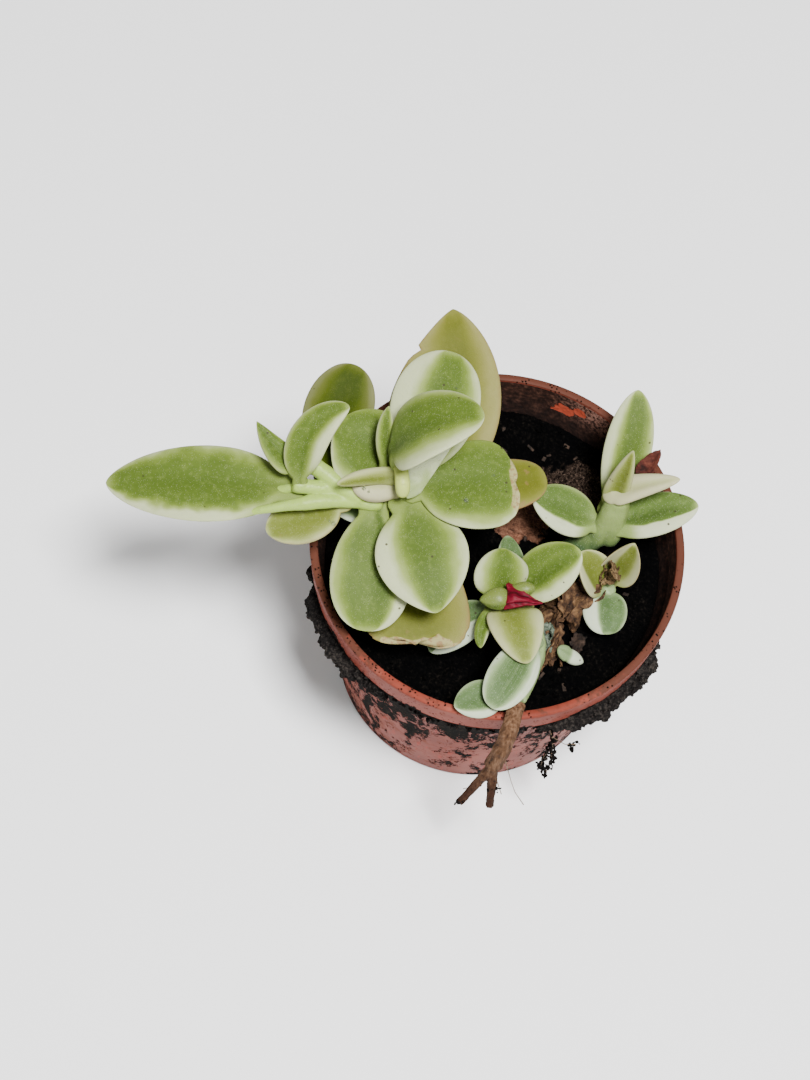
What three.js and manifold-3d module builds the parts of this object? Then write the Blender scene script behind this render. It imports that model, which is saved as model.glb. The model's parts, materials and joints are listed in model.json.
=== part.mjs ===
// A variegated heartleaf ice plant in a small plastic nursery pot, in millimetres with +Z up.
// The origin is the centre of the pot's flat base. +Y runs to the back of the pot and +X to its
// right, so the longest leaf reaches out along -X and the woody stem hangs over the rim at -Y.
import * as THREE from "three";
import { mergeVertices } from "three/addons/utils/BufferGeometryUtils.js";
import Module from "manifold-3d";

const wasm = await Module();
wasm.setup();

// Pot
const POT_HEIGHT = 66;
const RIM_RADIUS = 40;
const LIP_WIDTH = 1.8;
const COLLAR_HEIGHT = 8.5;
const COLLAR_TAPER = 0.5;
const COLLAR_STEP = 1.6;
const BASE_RADIUS = 32;
const WALL = 1.1;
const FOOT_HEIGHT = 1.2;
const FOOT_WIDTH = 4;
const BOSS_RADIUS = 9;
const DRAIN_HOLES = 6;
const DRAIN_RADIUS = 3;
const DRAIN_CIRCLE = 18;
const POT_SIDES = 48;

// Soil
const SOIL_LEVEL = 54.5;
const SOIL_RINGS = [1, 0.86, 0.7, 0.54, 0.37, 0.19, 0];
const ROOTED_DEPTH = 6;
const CRUST_STEP = 3.2; // degrees

// Flower
const PETALS = 8;
const PETAL_LENGTH = 8;
const PETAL_RING = 0.7; // distance of a petal's neck from the flower's axis
const PETAL_HEART = [[0, 0], [1, 0], [2.1, 1.4], [2, 3.4], [1.2, 5.8], [0, 7]]; // radius, height
const SEPAL_TURNS = [-45, 60]; // degrees about the flower's axis

// Clearance between pieces that touch on the real plant
const GAP = 0.35;

// Leaves
const LEAF_THICKNESS = 2.2;

// Leaf rows from the neck to just short of the tip, and columns from margin to margin
const LEAF_ROWS = [0, 0.09, 0.2, 0.34, 0.5, 0.66, 0.81, 0.93];
const LEAF_COLUMNS = [-1, -0.86, -0.48, 0, 0.48, 0.86, 1];

const finish = (color, roughness) =>
  new THREE.MeshStandardMaterial({ color, roughness, metalness: 0 });

const MATERIALS = {
  terracotta_plastic: finish(0xb2675a, 0.55),
  peat: finish(0x1c1714, 0.95),
  green_leaf: finish(0x9cb25f, 0.45),
  cream_leaf: finish(0xd6d5b4, 0.5),
  old_leaf: finish(0xb3ad6c, 0.6),
  shade_leaf: finish(0x8fb096, 0.5),
  stem: finish(0xa9bd83, 0.5),
  wood: finish(0x7a5a43, 0.85),
  dried_leaf: finish(0x7d6146, 0.9),
  petal: finish(0xa31f42, 0.6),
};

// Solids

// A closed solid through equal rings of points. The rings run clockwise as seen along the way
// from the first to the last, which may be a single point, and a ring at an end gets a flat cap.
function loft(rings) {
  const positions = [];
  const indices = [];
  const starts = [];
  for (const ring of rings) {
    starts.push(positions.length / 3);
    for (const point of ring) positions.push(point.x, point.y, point.z);
  }
  const count = rings[0].length;
  const last = rings.length - 1;
  for (let i = 0; i < last; i++) {
    for (let k = 0; k < count; k++) {
      const a = starts[i] + k;
      const b = starts[i] + ((k + 1) % count);
      if (rings[i + 1].length === 1) {
        indices.push(a, b, starts[i + 1]);
        continue;
      }
      const c = starts[i + 1] + ((k + 1) % count);
      const d = starts[i + 1] + k;
      if (k < count / 2) indices.push(a, b, c, a, c, d);
      else indices.push(a, b, d, b, c, d);
    }
  }
  for (let k = 1; k < count - 1; k++) {
    indices.push(starts[0], starts[0] + k + 1, starts[0] + k);
    if (rings[last].length > 1) indices.push(starts[last], starts[last] + k, starts[last] + k + 1);
  }
  const geometry = new THREE.BufferGeometry();
  geometry.setAttribute("position", new THREE.Float32BufferAttribute(positions, 3));
  geometry.setIndex(indices);
  geometry.computeVertexNormals();
  return geometry;
}

function toSolid(geometry) {
  const bare = geometry.clone();
  bare.deleteAttribute("normal");
  bare.deleteAttribute("uv");
  const merged = mergeVertices(bare, 1e-3);
  return new wasm.Manifold(
    new wasm.Mesh({
      numProp: 3,
      vertProperties: merged.attributes.position.array,
      triVerts: new Uint32Array(merged.index.array),
    }),
  );
}

function toGeometry(solid) {
  const mesh = solid.getMesh();
  const geometry = new THREE.BufferGeometry();
  geometry.setAttribute("position", new THREE.BufferAttribute(mesh.vertProperties, 3));
  geometry.setIndex(new THREE.BufferAttribute(mesh.triVerts, 1));
  geometry.computeVertexNormals();
  return geometry;
}

const fused = (first, ...others) =>
  toGeometry(others.reduce((whole, other) => whole.add(toSolid(other)), toSolid(first)));

const cut = (body, ...tools) =>
  toGeometry(tools.reduce((whole, tool) => whole.subtract(toSolid(tool)), toSolid(body)));

// A profile of [radius, height] points turned about the upright axis.
function turned(profile, sides) {
  const points = profile.map(([radius, height]) => new THREE.Vector2(radius, height));
  return new THREE.LatheGeometry(points, sides).rotateX(Math.PI / 2);
}

// Repeatable random numbers from 0 to 1
let randomState = 20;
function random() {
  randomState = (randomState * 16807) % 2147483647;
  return randomState / 2147483647;
}

const radians = THREE.MathUtils.degToRad;
const vector = (x, y, z) => new THREE.Vector3(x, y, z);

// Pot

const lerp = THREE.MathUtils.lerp;
const stepHeight = POT_HEIGHT - COLLAR_HEIGHT;
const bodyTopRadius = RIM_RADIUS - COLLAR_TAPER - COLLAR_STEP;
const wallRadius = (z) => lerp(BASE_RADIUS, bodyTopRadius, z / stepHeight);
const floorTop = 2 * FOOT_HEIGHT;

function potGeometry() {
  const lipInner = RIM_RADIUS - LIP_WIDTH;
  const edge = 0.6;
  const body = turned(
    [
      [0, 0],
      [BOSS_RADIUS, 0],
      [BOSS_RADIUS + edge, FOOT_HEIGHT],
      [BASE_RADIUS - FOOT_WIDTH - edge, FOOT_HEIGHT],
      [BASE_RADIUS - FOOT_WIDTH, 0],
      [BASE_RADIUS - edge, 0],
      [BASE_RADIUS, edge],
      [bodyTopRadius, stepHeight - edge],
      [RIM_RADIUS - COLLAR_TAPER, stepHeight],
      [RIM_RADIUS, POT_HEIGHT - edge],
      [RIM_RADIUS - edge / 2, POT_HEIGHT],
      [lipInner + edge / 2, POT_HEIGHT],
      [lipInner, POT_HEIGHT - edge],
      [lipInner - edge / 2, stepHeight + edge],
      [bodyTopRadius - WALL, stepHeight - 2 * edge],
      [wallRadius(floorTop) - WALL, floorTop + edge],
      [wallRadius(floorTop) - WALL - edge, floorTop],
      [0, floorTop],
    ],
    POT_SIDES,
  );
  const drains = [];
  for (let i = 0; i < DRAIN_HOLES; i++) {
    const angle = (2 * Math.PI * i) / DRAIN_HOLES;
    const hole = new THREE.CylinderGeometry(DRAIN_RADIUS, DRAIN_RADIUS, 4 * floorTop, 16);
    hole.rotateX(Math.PI / 2);
    drains.push(hole.translate(DRAIN_CIRCLE * Math.cos(angle), DRAIN_CIRCLE * Math.sin(angle), 0));
  }
  return cut(body, ...drains);
}

// Stalks

const KNOT_TURN = 2.4; // radians from step to step, so that knots come about every second step

// A round stem along a curve through hand-set points, with radii spaced evenly along it.
class Stalk {
  constructor(points, radii) {
    this.curve = new THREE.CatmullRomCurve3(points.map(([x, y, z]) => vector(x, y, z)));
    this.radii = radii;
  }

  radiusAt(along) {
    const place = along * (this.radii.length - 1);
    const before = Math.min(Math.floor(place), this.radii.length - 2);
    return lerp(this.radii[before], this.radii[before + 1], place - before);
  }

  // `extra` widens the stem and lengthens its foot, and `knots` swells it here and there.
  geometry({ steps = 8, sides = 8, extra = 0, knots = 0 } = {}) {
    const frames = this.curve.computeFrenetFrames(steps);
    const rings = frames.tangents.map((tangent, i) => {
      const along = i / steps;
      const centre = this.curve.getPointAt(along);
      if (i === 0) centre.addScaledVector(tangent, -extra);
      const radius = this.radiusAt(along) * (1 + knots * Math.cos(KNOT_TURN * i)) + extra;
      return Array.from({ length: sides }, (_, k) => {
        const angle = (2 * Math.PI * k) / sides;
        return centre
          .clone()
          .addScaledVector(frames.normals[i], radius * Math.cos(angle))
          .addScaledVector(frames.binormals[i], radius * Math.sin(angle));
      });
    });
    return loft(rings);
  }
}

// Leaves

// A fleshy leaf in its own frame: the neck is at the origin and the midrib sets off along +X,
// rising by `rise` degrees. On the way to the tip it bends down by `bend` degrees, early in its
// length where `early` is under 1, and turns left by `sway` degrees. `roll` and `twist` lift the
// right margin, at the neck and towards the tip. `cup` lifts both margins, `crease` sinks the
// midrib and `wave` ruffles the margins.
function leafGeometry({
  rise = 0,
  length,
  width,
  bend = 0,
  early = 1,
  sway = 0,
  roll = 0,
  twist = 0,
  cup = 0,
  crease = 0.35,
  wave = 0,
  widest = 0.45,
  fullness = 1.05,
  neck = 2.4,
  neckLength = 0.08,
  thickness = LEAF_THICKNESS,
}) {
  const halfWidth = (s) => {
    const u = Math.max(0, (s - neckLength) / (1 - neckLength));
    const blade = (u / widest) ** widest * ((1 - u) / (1 - widest)) ** (1 - widest);
    return Math.hypot((neck / 2) * (1 - s), (width / 2) * blade ** fullness);
  };
  const thicknessAt = (s) => thickness * (0.8 + 0.2 * Math.sin(Math.PI * s)) * (1 - 0.45 * s ** 4);
  const centre = vector(0, 0, 0);
  const direction = (s) => {
    const heading = radians(sway * s);
    const lift = radians(rise - bend * s ** early);
    const level = Math.cos(lift);
    return vector(Math.cos(heading) * level, Math.sin(heading) * level, Math.sin(lift));
  };
  const stations = [...LEAF_ROWS, 1];
  const rings = stations.map((s, i) => {
    if (i > 0) {
      const step = s - stations[i - 1];
      centre.addScaledVector(direction(s - step / 2), step * length);
    }
    if (s === 1) return [centre.clone()];
    const heading = radians(sway * s);
    const level = vector(Math.sin(heading), -Math.cos(heading), 0);
    const above = level.clone().cross(direction(s));
    const turn = radians(roll + twist * s);
    const side = level.clone().multiplyScalar(Math.cos(turn));
    side.addScaledVector(above, Math.sin(turn));
    const up = above.clone().multiplyScalar(Math.cos(turn));
    up.addScaledVector(level, -Math.sin(turn));
    const half = halfWidth(s);
    const place = (v, face) => {
      const ruffle = wave * v * v * Math.sin(9 * s + 2.5 * v);
      const height = cup * half * v * v - crease * (1 - v * v) ** 4 * Math.sin(Math.PI * s) + ruffle;
      const skin = (face * thicknessAt(s) * Math.sqrt(1 - v * v)) / 2;
      return centre.clone().addScaledVector(side, half * v).addScaledVector(up, height + skin);
    };
    const top = LEAF_COLUMNS.map((v) => place(v, 1));
    const bottom = LEAF_COLUMNS.slice(1, -1).reverse().map((v) => place(v, -1));
    return [...top, ...bottom];
  });
  return loft(rings);
}

const part = new THREE.Group();
part.name = "potted_heartleaf_ice_plant";

function addPiece(parent, name, geometry, material) {
  const mesh = new THREE.Mesh(geometry, MATERIALS[material]);
  mesh.name = name;
  parent.add(mesh);
  return mesh;
}

// Puts a leaf on its stalk: `at` runs from the stalk's foot to its end, and `azimuth` is the way
// that the leaf points, in degrees from +X towards +Y. The neck stands clear of the stalk.
function addLeaf(parent, name, stalk, { at, azimuth, material = "green_leaf", ...shape }) {
  const heading = radians(azimuth);
  const lift = radians(shape.rise ?? 0);
  const level = Math.cos(lift);
  const way = vector(Math.cos(heading) * level, Math.sin(heading) * level, Math.sin(lift));
  const tangent = stalk.curve.getTangentAt(at);
  const outward = way.clone().addScaledVector(tangent, -way.dot(tangent)).normalize();
  const slant = Math.sqrt(1 - way.dot(outward) ** 2);
  const clear = stalk.radiusAt(at) + GAP + ((shape.thickness ?? LEAF_THICKNESS) / 2) * slant;
  const leaf = addPiece(parent, name, leafGeometry(shape), material);
  leaf.position.copy(stalk.curve.getPointAt(at)).addScaledVector(outward, clear);
  leaf.rotation.z = heading;
  return leaf;
}

function addLeaves(parent, stalk, leaves) {
  for (const [name, leaf] of Object.entries(leaves)) addLeaf(parent, name, stalk, leaf);
}

// Main shoot, with the side branch that carries the far left leaf

const mainStalk = new Stalk(
  [[-14, -4, SOIL_LEVEL - ROOTED_DEPTH], [-16, -3, 62], [-20, -1, 76], [-22, 1, 88]],
  [2.3, 1.5],
);
const leftBranch = new Stalk(
  [[-20.3, -0.8, 77], [-28, -1.2, 81], [-36, -2.4, 83.5], [-43.5, -3.4, 85]],
  [1.7, 1.4],
);

const mainShoot = new THREE.Group();
part.add(mainShoot);
addPiece(
  mainShoot,
  "main_stem",
  fused(mainStalk.geometry({ steps: 10 }), leftBranch.geometry({ steps: 6 })),
  "stem",
);

addLeaves(mainShoot, mainStalk, {
  leaf_back_old: {
    at: 0.72, azimuth: 64, rise: 20, bend: 8, sway: 46, length: 42, width: 20, widest: 0.42,
    fullness: 1.3, material: "old_leaf",
  },
  leaf_upper: {
    at: 0.9, azimuth: 76, rise: 34, bend: 34, sway: 10, length: 28, width: 18, widest: 0.54,
    fullness: 1.1,
  },
  leaf_arching: {
    at: 1, azimuth: 38, rise: 125, bend: 130, early: 0.6, roll: 15, length: 29.5, width: 14, widest: 0.5,
    neckLength: 0.15,
  },
  leaf_right_torn: {
    at: 0.88, azimuth: 12, rise: 6, bend: 10, length: 22, width: 20, widest: 0.6, fullness: 0.75,
  },
  leaf_right_under: {
    at: 0.68, azimuth: 23, rise: 4, bend: 6, length: 28, width: 12, widest: 0.6, material: "old_leaf",
  },
  leaf_front: {
    at: 0.85, azimuth: -67, rise: 4, bend: 24, length: 24, width: 19, widest: 0.46, fullness: 1.4,
    neck: 4,
  },
  leaf_front_old: {
    at: 0.5, azimuth: -80, rise: 0, bend: 10, length: 23, width: 20, widest: 0.7, fullness: 0.7,
    material: "old_leaf",
  },
  leaf_broad: { at: 0.84, azimuth: 139, rise: 34, bend: 26, sway: 20, length: 18, width: 16 },
  leaf_slim: { at: 0.97, azimuth: 122, rise: 58, bend: 20, sway: -40, length: 13, width: 3.6 },
  leaf_edge: {
    at: 0.98, azimuth: -165, rise: 15, length: 12, width: 3.6, roll: 60, material: "cream_leaf",
  },
  leaf_cream: {
    at: 0.9, azimuth: -140, rise: 10, sway: -60, length: 9, width: 3.6, thickness: 3,
    material: "cream_leaf",
  },
  leaf_low_left: { at: 0.6, azimuth: 170, rise: 10, bend: 10, length: 18, width: 9 },
});

addLeaves(mainShoot, leftBranch, {
  leaf_front_left: { at: 0.3, azimuth: -84, rise: -8, bend: 15, length: 26, width: 16.5, widest: 0.56 },
  leaf_back_left: { at: 0.6, azimuth: 99, rise: -22, bend: -40, length: 28, width: 14.5, widest: 0.6 },
  leaf_left_arching: { at: 0.9, azimuth: 108, rise: 62, bend: 50, sway: -90, length: 20, width: 9.5 },
  leaf_left_slim: { at: 0.98, azimuth: 158, rise: 26, bend: 6, sway: -30, length: 13, width: 4.6 },
  leaf_far_left: {
    at: 0.995, azimuth: 184, rise: -2, bend: 12, length: 39, width: 17, widest: 0.43, fullness: 1.25,
  },
  leaf_left_old: {
    at: 0.55, azimuth: -152, rise: -20, bend: -20, length: 17, width: 11, material: "old_leaf",
  },
});

// Right shoot

const rightStalk = new Stalk(
  [[12, 2.5, SOIL_LEVEL - ROOTED_DEPTH], [15.5, 3, 58], [21, 5, 64.5], [23.2, 10.5, 74]],
  [2.6, 1.6],
);
const rightShoot = new THREE.Group();
part.add(rightShoot);
addPiece(rightShoot, "right_stem", rightStalk.geometry(), "stem");
addLeaves(rightShoot, rightStalk, {
  right_leaf_left: {
    at: 0.72, azimuth: 172, rise: 22, bend: 5, length: 15, width: 11, material: "shade_leaf",
  },
  right_leaf_right: { at: 0.77, azimuth: 13, rise: 25, bend: 8, length: 17, width: 9.5 },
  right_leaf_tall: {
    at: 0.8, azimuth: 78, rise: 38, bend: 14, sway: 14, length: 26.5, width: 10.5, widest: 0.58,
  },
  right_leaf_small: { at: 0.99, azimuth: 72, rise: 66, length: 11.5, width: 4.2 },
  right_leaf_cream: {
    at: 0.98, azimuth: 9, rise: 34, bend: 14, length: 13, width: 5.6, material: "cream_leaf",
  },
  right_leaf_dried: {
    at: 0.92, azimuth: 55, rise: 38, bend: -10, length: 13.5, width: 4, thickness: 1.4, cup: 0.5,
    neck: 1.4, neckLength: 0.35, widest: 0.35, material: "dried_leaf",
  },
});

// Short stem at the right, with two cupped leaves about a dried flower bud

const budStalk = new Stalk(
  [[22.5, -4.5, SOIL_LEVEL - ROOTED_DEPTH], [24, -5.2, 55], [25.2, -5, 60.5]],
  [1.8, 1.3],
);
const budShoot = new THREE.Group();
part.add(budShoot);
addPiece(budShoot, "bud_stem", budStalk.geometry({ steps: 6 }), "stem");
addLeaves(budShoot, budStalk, {
  bud_leaf_left: { at: 0.97, azimuth: 150, rise: 58, bend: 10, length: 10.5, width: 7, cup: 0.3 },
  bud_leaf_right: {
    at: 0.97, azimuth: 52, rise: 60, bend: -10, roll: -25, length: 11, width: 6.5, cup: 0.4,
  },
  bud_leaf_low: {
    at: 0.92, azimuth: -82, rise: 12, bend: 25, length: 9.5, width: 9.5, material: "shade_leaf",
  },
});

const driedBud = new Stalk(
  [[25.1, -4.6, 61.4], [24.8, -3.4, 64.5], [23.8, -2, 68]],
  [0.8, 1.4, 1.5, 1.5, 1],
);
addPiece(budShoot, "dried_bud", driedBud.geometry({ steps: 7, knots: 0.1 }), "dried_leaf");

// Front shoot, which lies over the rim and ends outside the pot in its woody fork

const frontStalk = new Stalk(
  [[8, -35.5, 68.2], [10, -29, 66.4], [11, -22, 66.2], [7, -16.5, 67.5], [0.8, -16, 70]],
  [1.8, 1.4],
);
const frontShoot = new THREE.Group();
part.add(frontShoot);
addPiece(frontShoot, "front_stem", frontStalk.geometry({ steps: 10 }), "stem");
addLeaves(frontShoot, frontStalk, {
  front_leaf_back: { at: 0.97, azimuth: 100, rise: 66, bend: 66, length: 10.5, width: 10.5, cup: -0.2 },
  front_leaf_right: { at: 0.83, azimuth: 34, rise: 42, bend: 22, length: 16.5, width: 11.5 },
  front_leaf_middle: {
    at: 0.88, azimuth: -78, rise: 42, bend: 62, length: 13.5, width: 10.5, fullness: 1.1,
  },
  front_leaf_left: { at: 0.98, azimuth: -165, rise: -25, bend: 5, sway: 45, length: 16, width: 8.5 },
  front_leaf_small: { at: 0.99, azimuth: -125, rise: 5, bend: 25, sway: 50, length: 8, width: 3 },
  front_leaf_hidden: {
    at: 0.82, azimuth: 103, rise: -8, length: 16, width: 6, material: "shade_leaf",
  },
  front_leaf_low: {
    at: 0.5, azimuth: -106, rise: 30, bend: 46, sway: -12, length: 18.5, width: 9.5, widest: 0.55,
    material: "shade_leaf",
  },
  front_leaf_over_rim: {
    at: 0.02, azimuth: 206, rise: 3, bend: 4, length: 11, width: 8, fullness: 1.2, material: "shade_leaf",
  },
  front_leaf_hanging: {
    at: 0.5, azimuth: -10, rise: -35, bend: -20, length: 9.5, width: 3.6, material: "cream_leaf",
  },
});

const woodyStalk = new Stalk(
  [[8, -36.5, 68.4], [7.6, -40, 68.4], [7, -43.2, 63], [5.8, -45.2, 53]],
  [1.9, 2.1],
);
const longProng = new Stalk([[5.9, -45, 54], [4, -47, 48], [0.6, -50.4, 40]], [1.3, 1]);
const shortProng = new Stalk([[5.8, -45, 54], [6.4, -47, 47], [7, -50, 39]], [1.3, 1]);
addPiece(
  frontShoot,
  "woody_fork",
  fused(
    woodyStalk.geometry({ steps: 8, sides: 7, knots: 0.06 }),
    longProng.geometry({ steps: 5, sides: 6, knots: 0.08 }),
    shortProng.geometry({ steps: 5, sides: 6, knots: 0.08 }),
  ),
  "wood",
);

// Flower at the end of the front shoot: a green calyx with its sepals, about petals that have
// wilted and closed to a point

const calyx = new Stalk(
  [[-1.8, -17.3, 72.8], [0, -17.1, 74.4], [2.6, -17, 74.9]],
  [0.9, 2, 2.2, 1.9, 1],
);
const mouth = calyx.curve.getPointAt(1);
const flowerWay = calyx.curve.getTangentAt(1);
const flowerTurn = new THREE.Quaternion().setFromUnitVectors(vector(1, 0, 0), flowerWay);

function sepalGeometry(turn) {
  const sepal = leafGeometry({
    rise: 58, bend: 62, length: 8.5, width: 2.6, thickness: 1, neck: 1.6, crease: 0.1, cup: -0.3,
  });
  sepal.translate(-1.6, 0, 1.1).rotateX(radians(turn));
  return sepal.applyQuaternion(flowerTurn).translate(mouth.x, mouth.y, mouth.z);
}

addPiece(
  frontShoot,
  "flower_calyx",
  fused(calyx.geometry({ steps: 6 }), ...SEPAL_TURNS.map(sepalGeometry)),
  "stem",
);

function petalsGeometry() {
  const heart = turned(PETAL_HEART, 10).rotateY(Math.PI / 2);
  const petals = Array.from({ length: PETALS }, (_, i) => {
    const petal = leafGeometry({
      rise: 50 + 8 * random(),
      bend: 98 + 10 * random(),
      early: 0.7,
      length: PETAL_LENGTH * (0.9 + 0.2 * random()),
      width: 2.2,
      thickness: 0.8,
      neck: 1.2,
      crease: 0.1,
      cup: -0.4,
      widest: 0.4,
    });
    return petal.translate(0, 0, PETAL_RING).rotateX((2 * Math.PI * i) / PETALS);
  });
  return fused(heart, ...petals);
}

const petals = addPiece(frontShoot, "flower_petals", petalsGeometry(), "petal");
petals.quaternion.copy(flowerTurn);
petals.position.copy(mouth).addScaledVector(flowerWay, GAP);

// A tube a little wider than a stalk, which leaves it a plain hole in the soil
const holeFor = (stalk) => stalk.geometry({ extra: GAP });

// Pot and soil

addPiece(part, "pot", potGeometry(), "terracotta_plastic");

const unevenness = (x, y) =>
  0.9 * Math.sin(0.23 * x + 1.3) * Math.cos(0.19 * y - 0.4) +
  0.6 * Math.sin(0.61 * x - 0.37 * y) +
  0.4 * Math.cos(0.43 * x + 0.71 * y);

function soilGeometry() {
  const bottom = floorTop + GAP;
  const edgeRadius = wallRadius(SOIL_LEVEL) - WALL - GAP;
  const footRadius = wallRadius(floorTop) - WALL - GAP;
  const profile = [
    [0, bottom],
    [footRadius - 1, bottom],
    [footRadius, bottom + 1],
    ...SOIL_RINGS.map((share) => [edgeRadius * share, SOIL_LEVEL]),
  ];
  const heap = turned(profile, POT_SIDES);
  const position = heap.attributes.position;
  for (let i = 0; i < position.count; i++) {
    if (position.getZ(i) < SOIL_LEVEL - 1) continue;
    const [x, y] = [position.getX(i), position.getY(i)];
    const inwards = 1 - (Math.hypot(x, y) / edgeRadius) ** 6;
    position.setZ(i, SOIL_LEVEL + (1.2 + unevenness(x, y)) * (0.4 + 0.6 * inwards));
  }
  return cut(heap, ...[mainStalk, rightStalk, budStalk].map(holeFor));
}

addPiece(part, "soil", soilGeometry(), "peat");

// Dried leaves that have dropped onto the soil

const fallen = {
  fallen_leaf_back: { x: 13, y: -5, lift: 2.9, azimuth: -42, length: 13, width: 9 },
  fallen_leaf_right: { x: 19.2, y: -13.5, lift: 2, azimuth: -88, length: 8.5, width: 5 },
  fallen_leaf_front: { x: 12, y: -14, lift: 2.4, azimuth: -78, length: 10, width: 6 },
};
const crumpled = { rise: 20, bend: 40, twist: 30, wave: 1.4, cup: 0.5, thickness: 1.2, neck: 1.6 };
for (const [name, { x, y, lift, azimuth, ...size }] of Object.entries(fallen)) {
  const leaf = addPiece(part, name, leafGeometry({ ...size, ...crumpled }), "dried_leaf");
  leaf.position.set(x, y, SOIL_LEVEL + unevenness(x, y) + lift);
  leaf.rotation.z = radians(azimuth);
}

// Crust of soil that has spilled over the rim and dried on the wall below the collar

function crustGeometry({ from, to, reach, drop }) {
  const steps = Math.round((to - from) / CRUST_STEP);
  const top = stepHeight - 1;
  const rings = Array.from({ length: steps + 1 }, (_, i) => {
    const angle = radians(from + ((to - from) * i) / steps);
    const swell = Math.sin((Math.PI * (i + 0.5)) / (steps + 1)) ** 0.6;
    const thick = 1 + reach * swell * (0.45 + 0.55 * random());
    const bottom = top - 2 - drop * swell * (0.4 + 0.6 * random());
    const onWall = (out, z) => {
      const radius = wallRadius(z) + GAP + out;
      return vector(radius * Math.cos(angle), radius * Math.sin(angle), z);
    };
    return [
      onWall(0, top),
      onWall(thick * 0.8, top),
      onWall(thick, top - 1.5),
      onWall(thick * (0.5 + 0.3 * random()), lerp(top, bottom, 0.6)),
      onWall(thick * 0.3, bottom),
      onWall(0, bottom),
    ];
  });
  return loft(rings);
}

for (const [name, shape] of Object.entries({
  soil_crust_left: { from: 193, to: 241, reach: 4.4, drop: 10 },
  soil_crust_right: { from: 291, to: 343, reach: 4.5, drop: 9 },
})) {
  addPiece(part, name, crustGeometry(shape), "peat");
}

export default part;
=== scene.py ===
import json
import math
import random

import bpy
from mathutils import Matrix, Vector, noise


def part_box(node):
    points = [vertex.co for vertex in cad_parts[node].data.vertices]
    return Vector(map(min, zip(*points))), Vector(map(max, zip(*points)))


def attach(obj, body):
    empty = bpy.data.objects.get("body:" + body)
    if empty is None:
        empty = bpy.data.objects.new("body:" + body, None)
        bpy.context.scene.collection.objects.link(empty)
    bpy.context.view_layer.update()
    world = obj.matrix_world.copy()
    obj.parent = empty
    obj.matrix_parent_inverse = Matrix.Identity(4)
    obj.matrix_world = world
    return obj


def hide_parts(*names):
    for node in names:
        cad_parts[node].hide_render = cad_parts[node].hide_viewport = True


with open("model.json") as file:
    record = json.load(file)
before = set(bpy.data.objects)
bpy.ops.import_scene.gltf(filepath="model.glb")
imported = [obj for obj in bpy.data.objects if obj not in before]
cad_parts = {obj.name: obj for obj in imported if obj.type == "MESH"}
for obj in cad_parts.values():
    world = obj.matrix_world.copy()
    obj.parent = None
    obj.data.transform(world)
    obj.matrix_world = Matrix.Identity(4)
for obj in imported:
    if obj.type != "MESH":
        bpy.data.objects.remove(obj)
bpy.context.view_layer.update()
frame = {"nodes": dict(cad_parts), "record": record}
SLOTS = {subpart["node"]: subpart["material_slot"] for subpart in frame["record"]["subparts"]}

bl_info = {
    "name": "Potted heartleaf ice plant",
    "version": (1, 0, 0),
    "blender": (4, 5, 0),
    "location": "View3D > Sidebar > Ice plant",
    "description": "Builds a variegated heartleaf ice plant in a small plastic pot",
    "category": "Object",
}

# Lengths below are in millimetres, and become metres as a piece is made.
MM = 0.001

# The pot's profile, as the solid frame has it
POT_HEIGHT = 66
RIM_RADIUS = 40
LIP_WIDTH = 1.8
COLLAR_HEIGHT = 8.5
COLLAR_TAPER = 0.5
COLLAR_STEP = 1.6
BASE_RADIUS = 32
WALL = 1.1
FOOT_HEIGHT = 1.2
FOOT_WIDTH = 4
BOSS_RADIUS = 9
DRAIN_HOLES = 6
DRAIN_RADIUS = 3
DRAIN_CIRCLE = 18
STEP_HEIGHT = POT_HEIGHT - COLLAR_HEIGHT
BODY_TOP_RADIUS = RIM_RADIUS - COLLAR_TAPER - COLLAR_STEP
FLOOR_TOP = 2 * FOOT_HEIGHT
CORNER = 0.6

# The soil in the pot, and the stretches of wall that soil clings to outside, in degrees about
# the pot's axis
SOIL_LEVEL = 54.5
SOIL_EDGE = 36.3
CRUST_SPANS = {"left": (193, 241), "right": (291, 343)}
SPAN_BETWEEN_CRUSTS = (238, 294)

# How far a leaf's foot reaches into the stem that it grows from
ROOT = 2.6

# Colours of the leaves that aren't plain green: rib, green, paler green, half-way and margin
TINTS = {
    "shade": (
        (0.03, 0.058, 0.016), (0.065, 0.11, 0.036), (0.115, 0.17, 0.068),
        (0.22, 0.29, 0.14), (0.42, 0.47, 0.34),
    ),
    "soft": (
        (0.034, 0.06, 0.009), (0.066, 0.108, 0.021), (0.115, 0.168, 0.04),
        (0.22, 0.28, 0.09), (0.42, 0.45, 0.29),
    ),
    "old": (
        (0.06, 0.07, 0.004), (0.084, 0.093, 0.007), (0.112, 0.118, 0.014),
        (0.146, 0.145, 0.028), (0.2, 0.187, 0.06),
    ),
    # Dark is painted shade: the usual green deepened for a leaf that lies in shade
    "dark": (
        (0.015, 0.026, 0.0005), (0.026, 0.042, 0.0008), (0.045, 0.062, 0.002),
        (0.075, 0.088, 0.014), (0.13, 0.135, 0.055),
    ),
    "pale": (
        (0.08, 0.105, 0.01), (0.118, 0.142, 0.022), (0.18, 0.207, 0.05),
        (0.28, 0.295, 0.12), (0.37, 0.37, 0.2),
    ),
    "cream": (
        (0.27, 0.29, 0.12), (0.34, 0.34, 0.17), (0.345, 0.345, 0.18),
        (0.36, 0.35, 0.195), (0.375, 0.36, 0.21),
    ),
}

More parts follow.
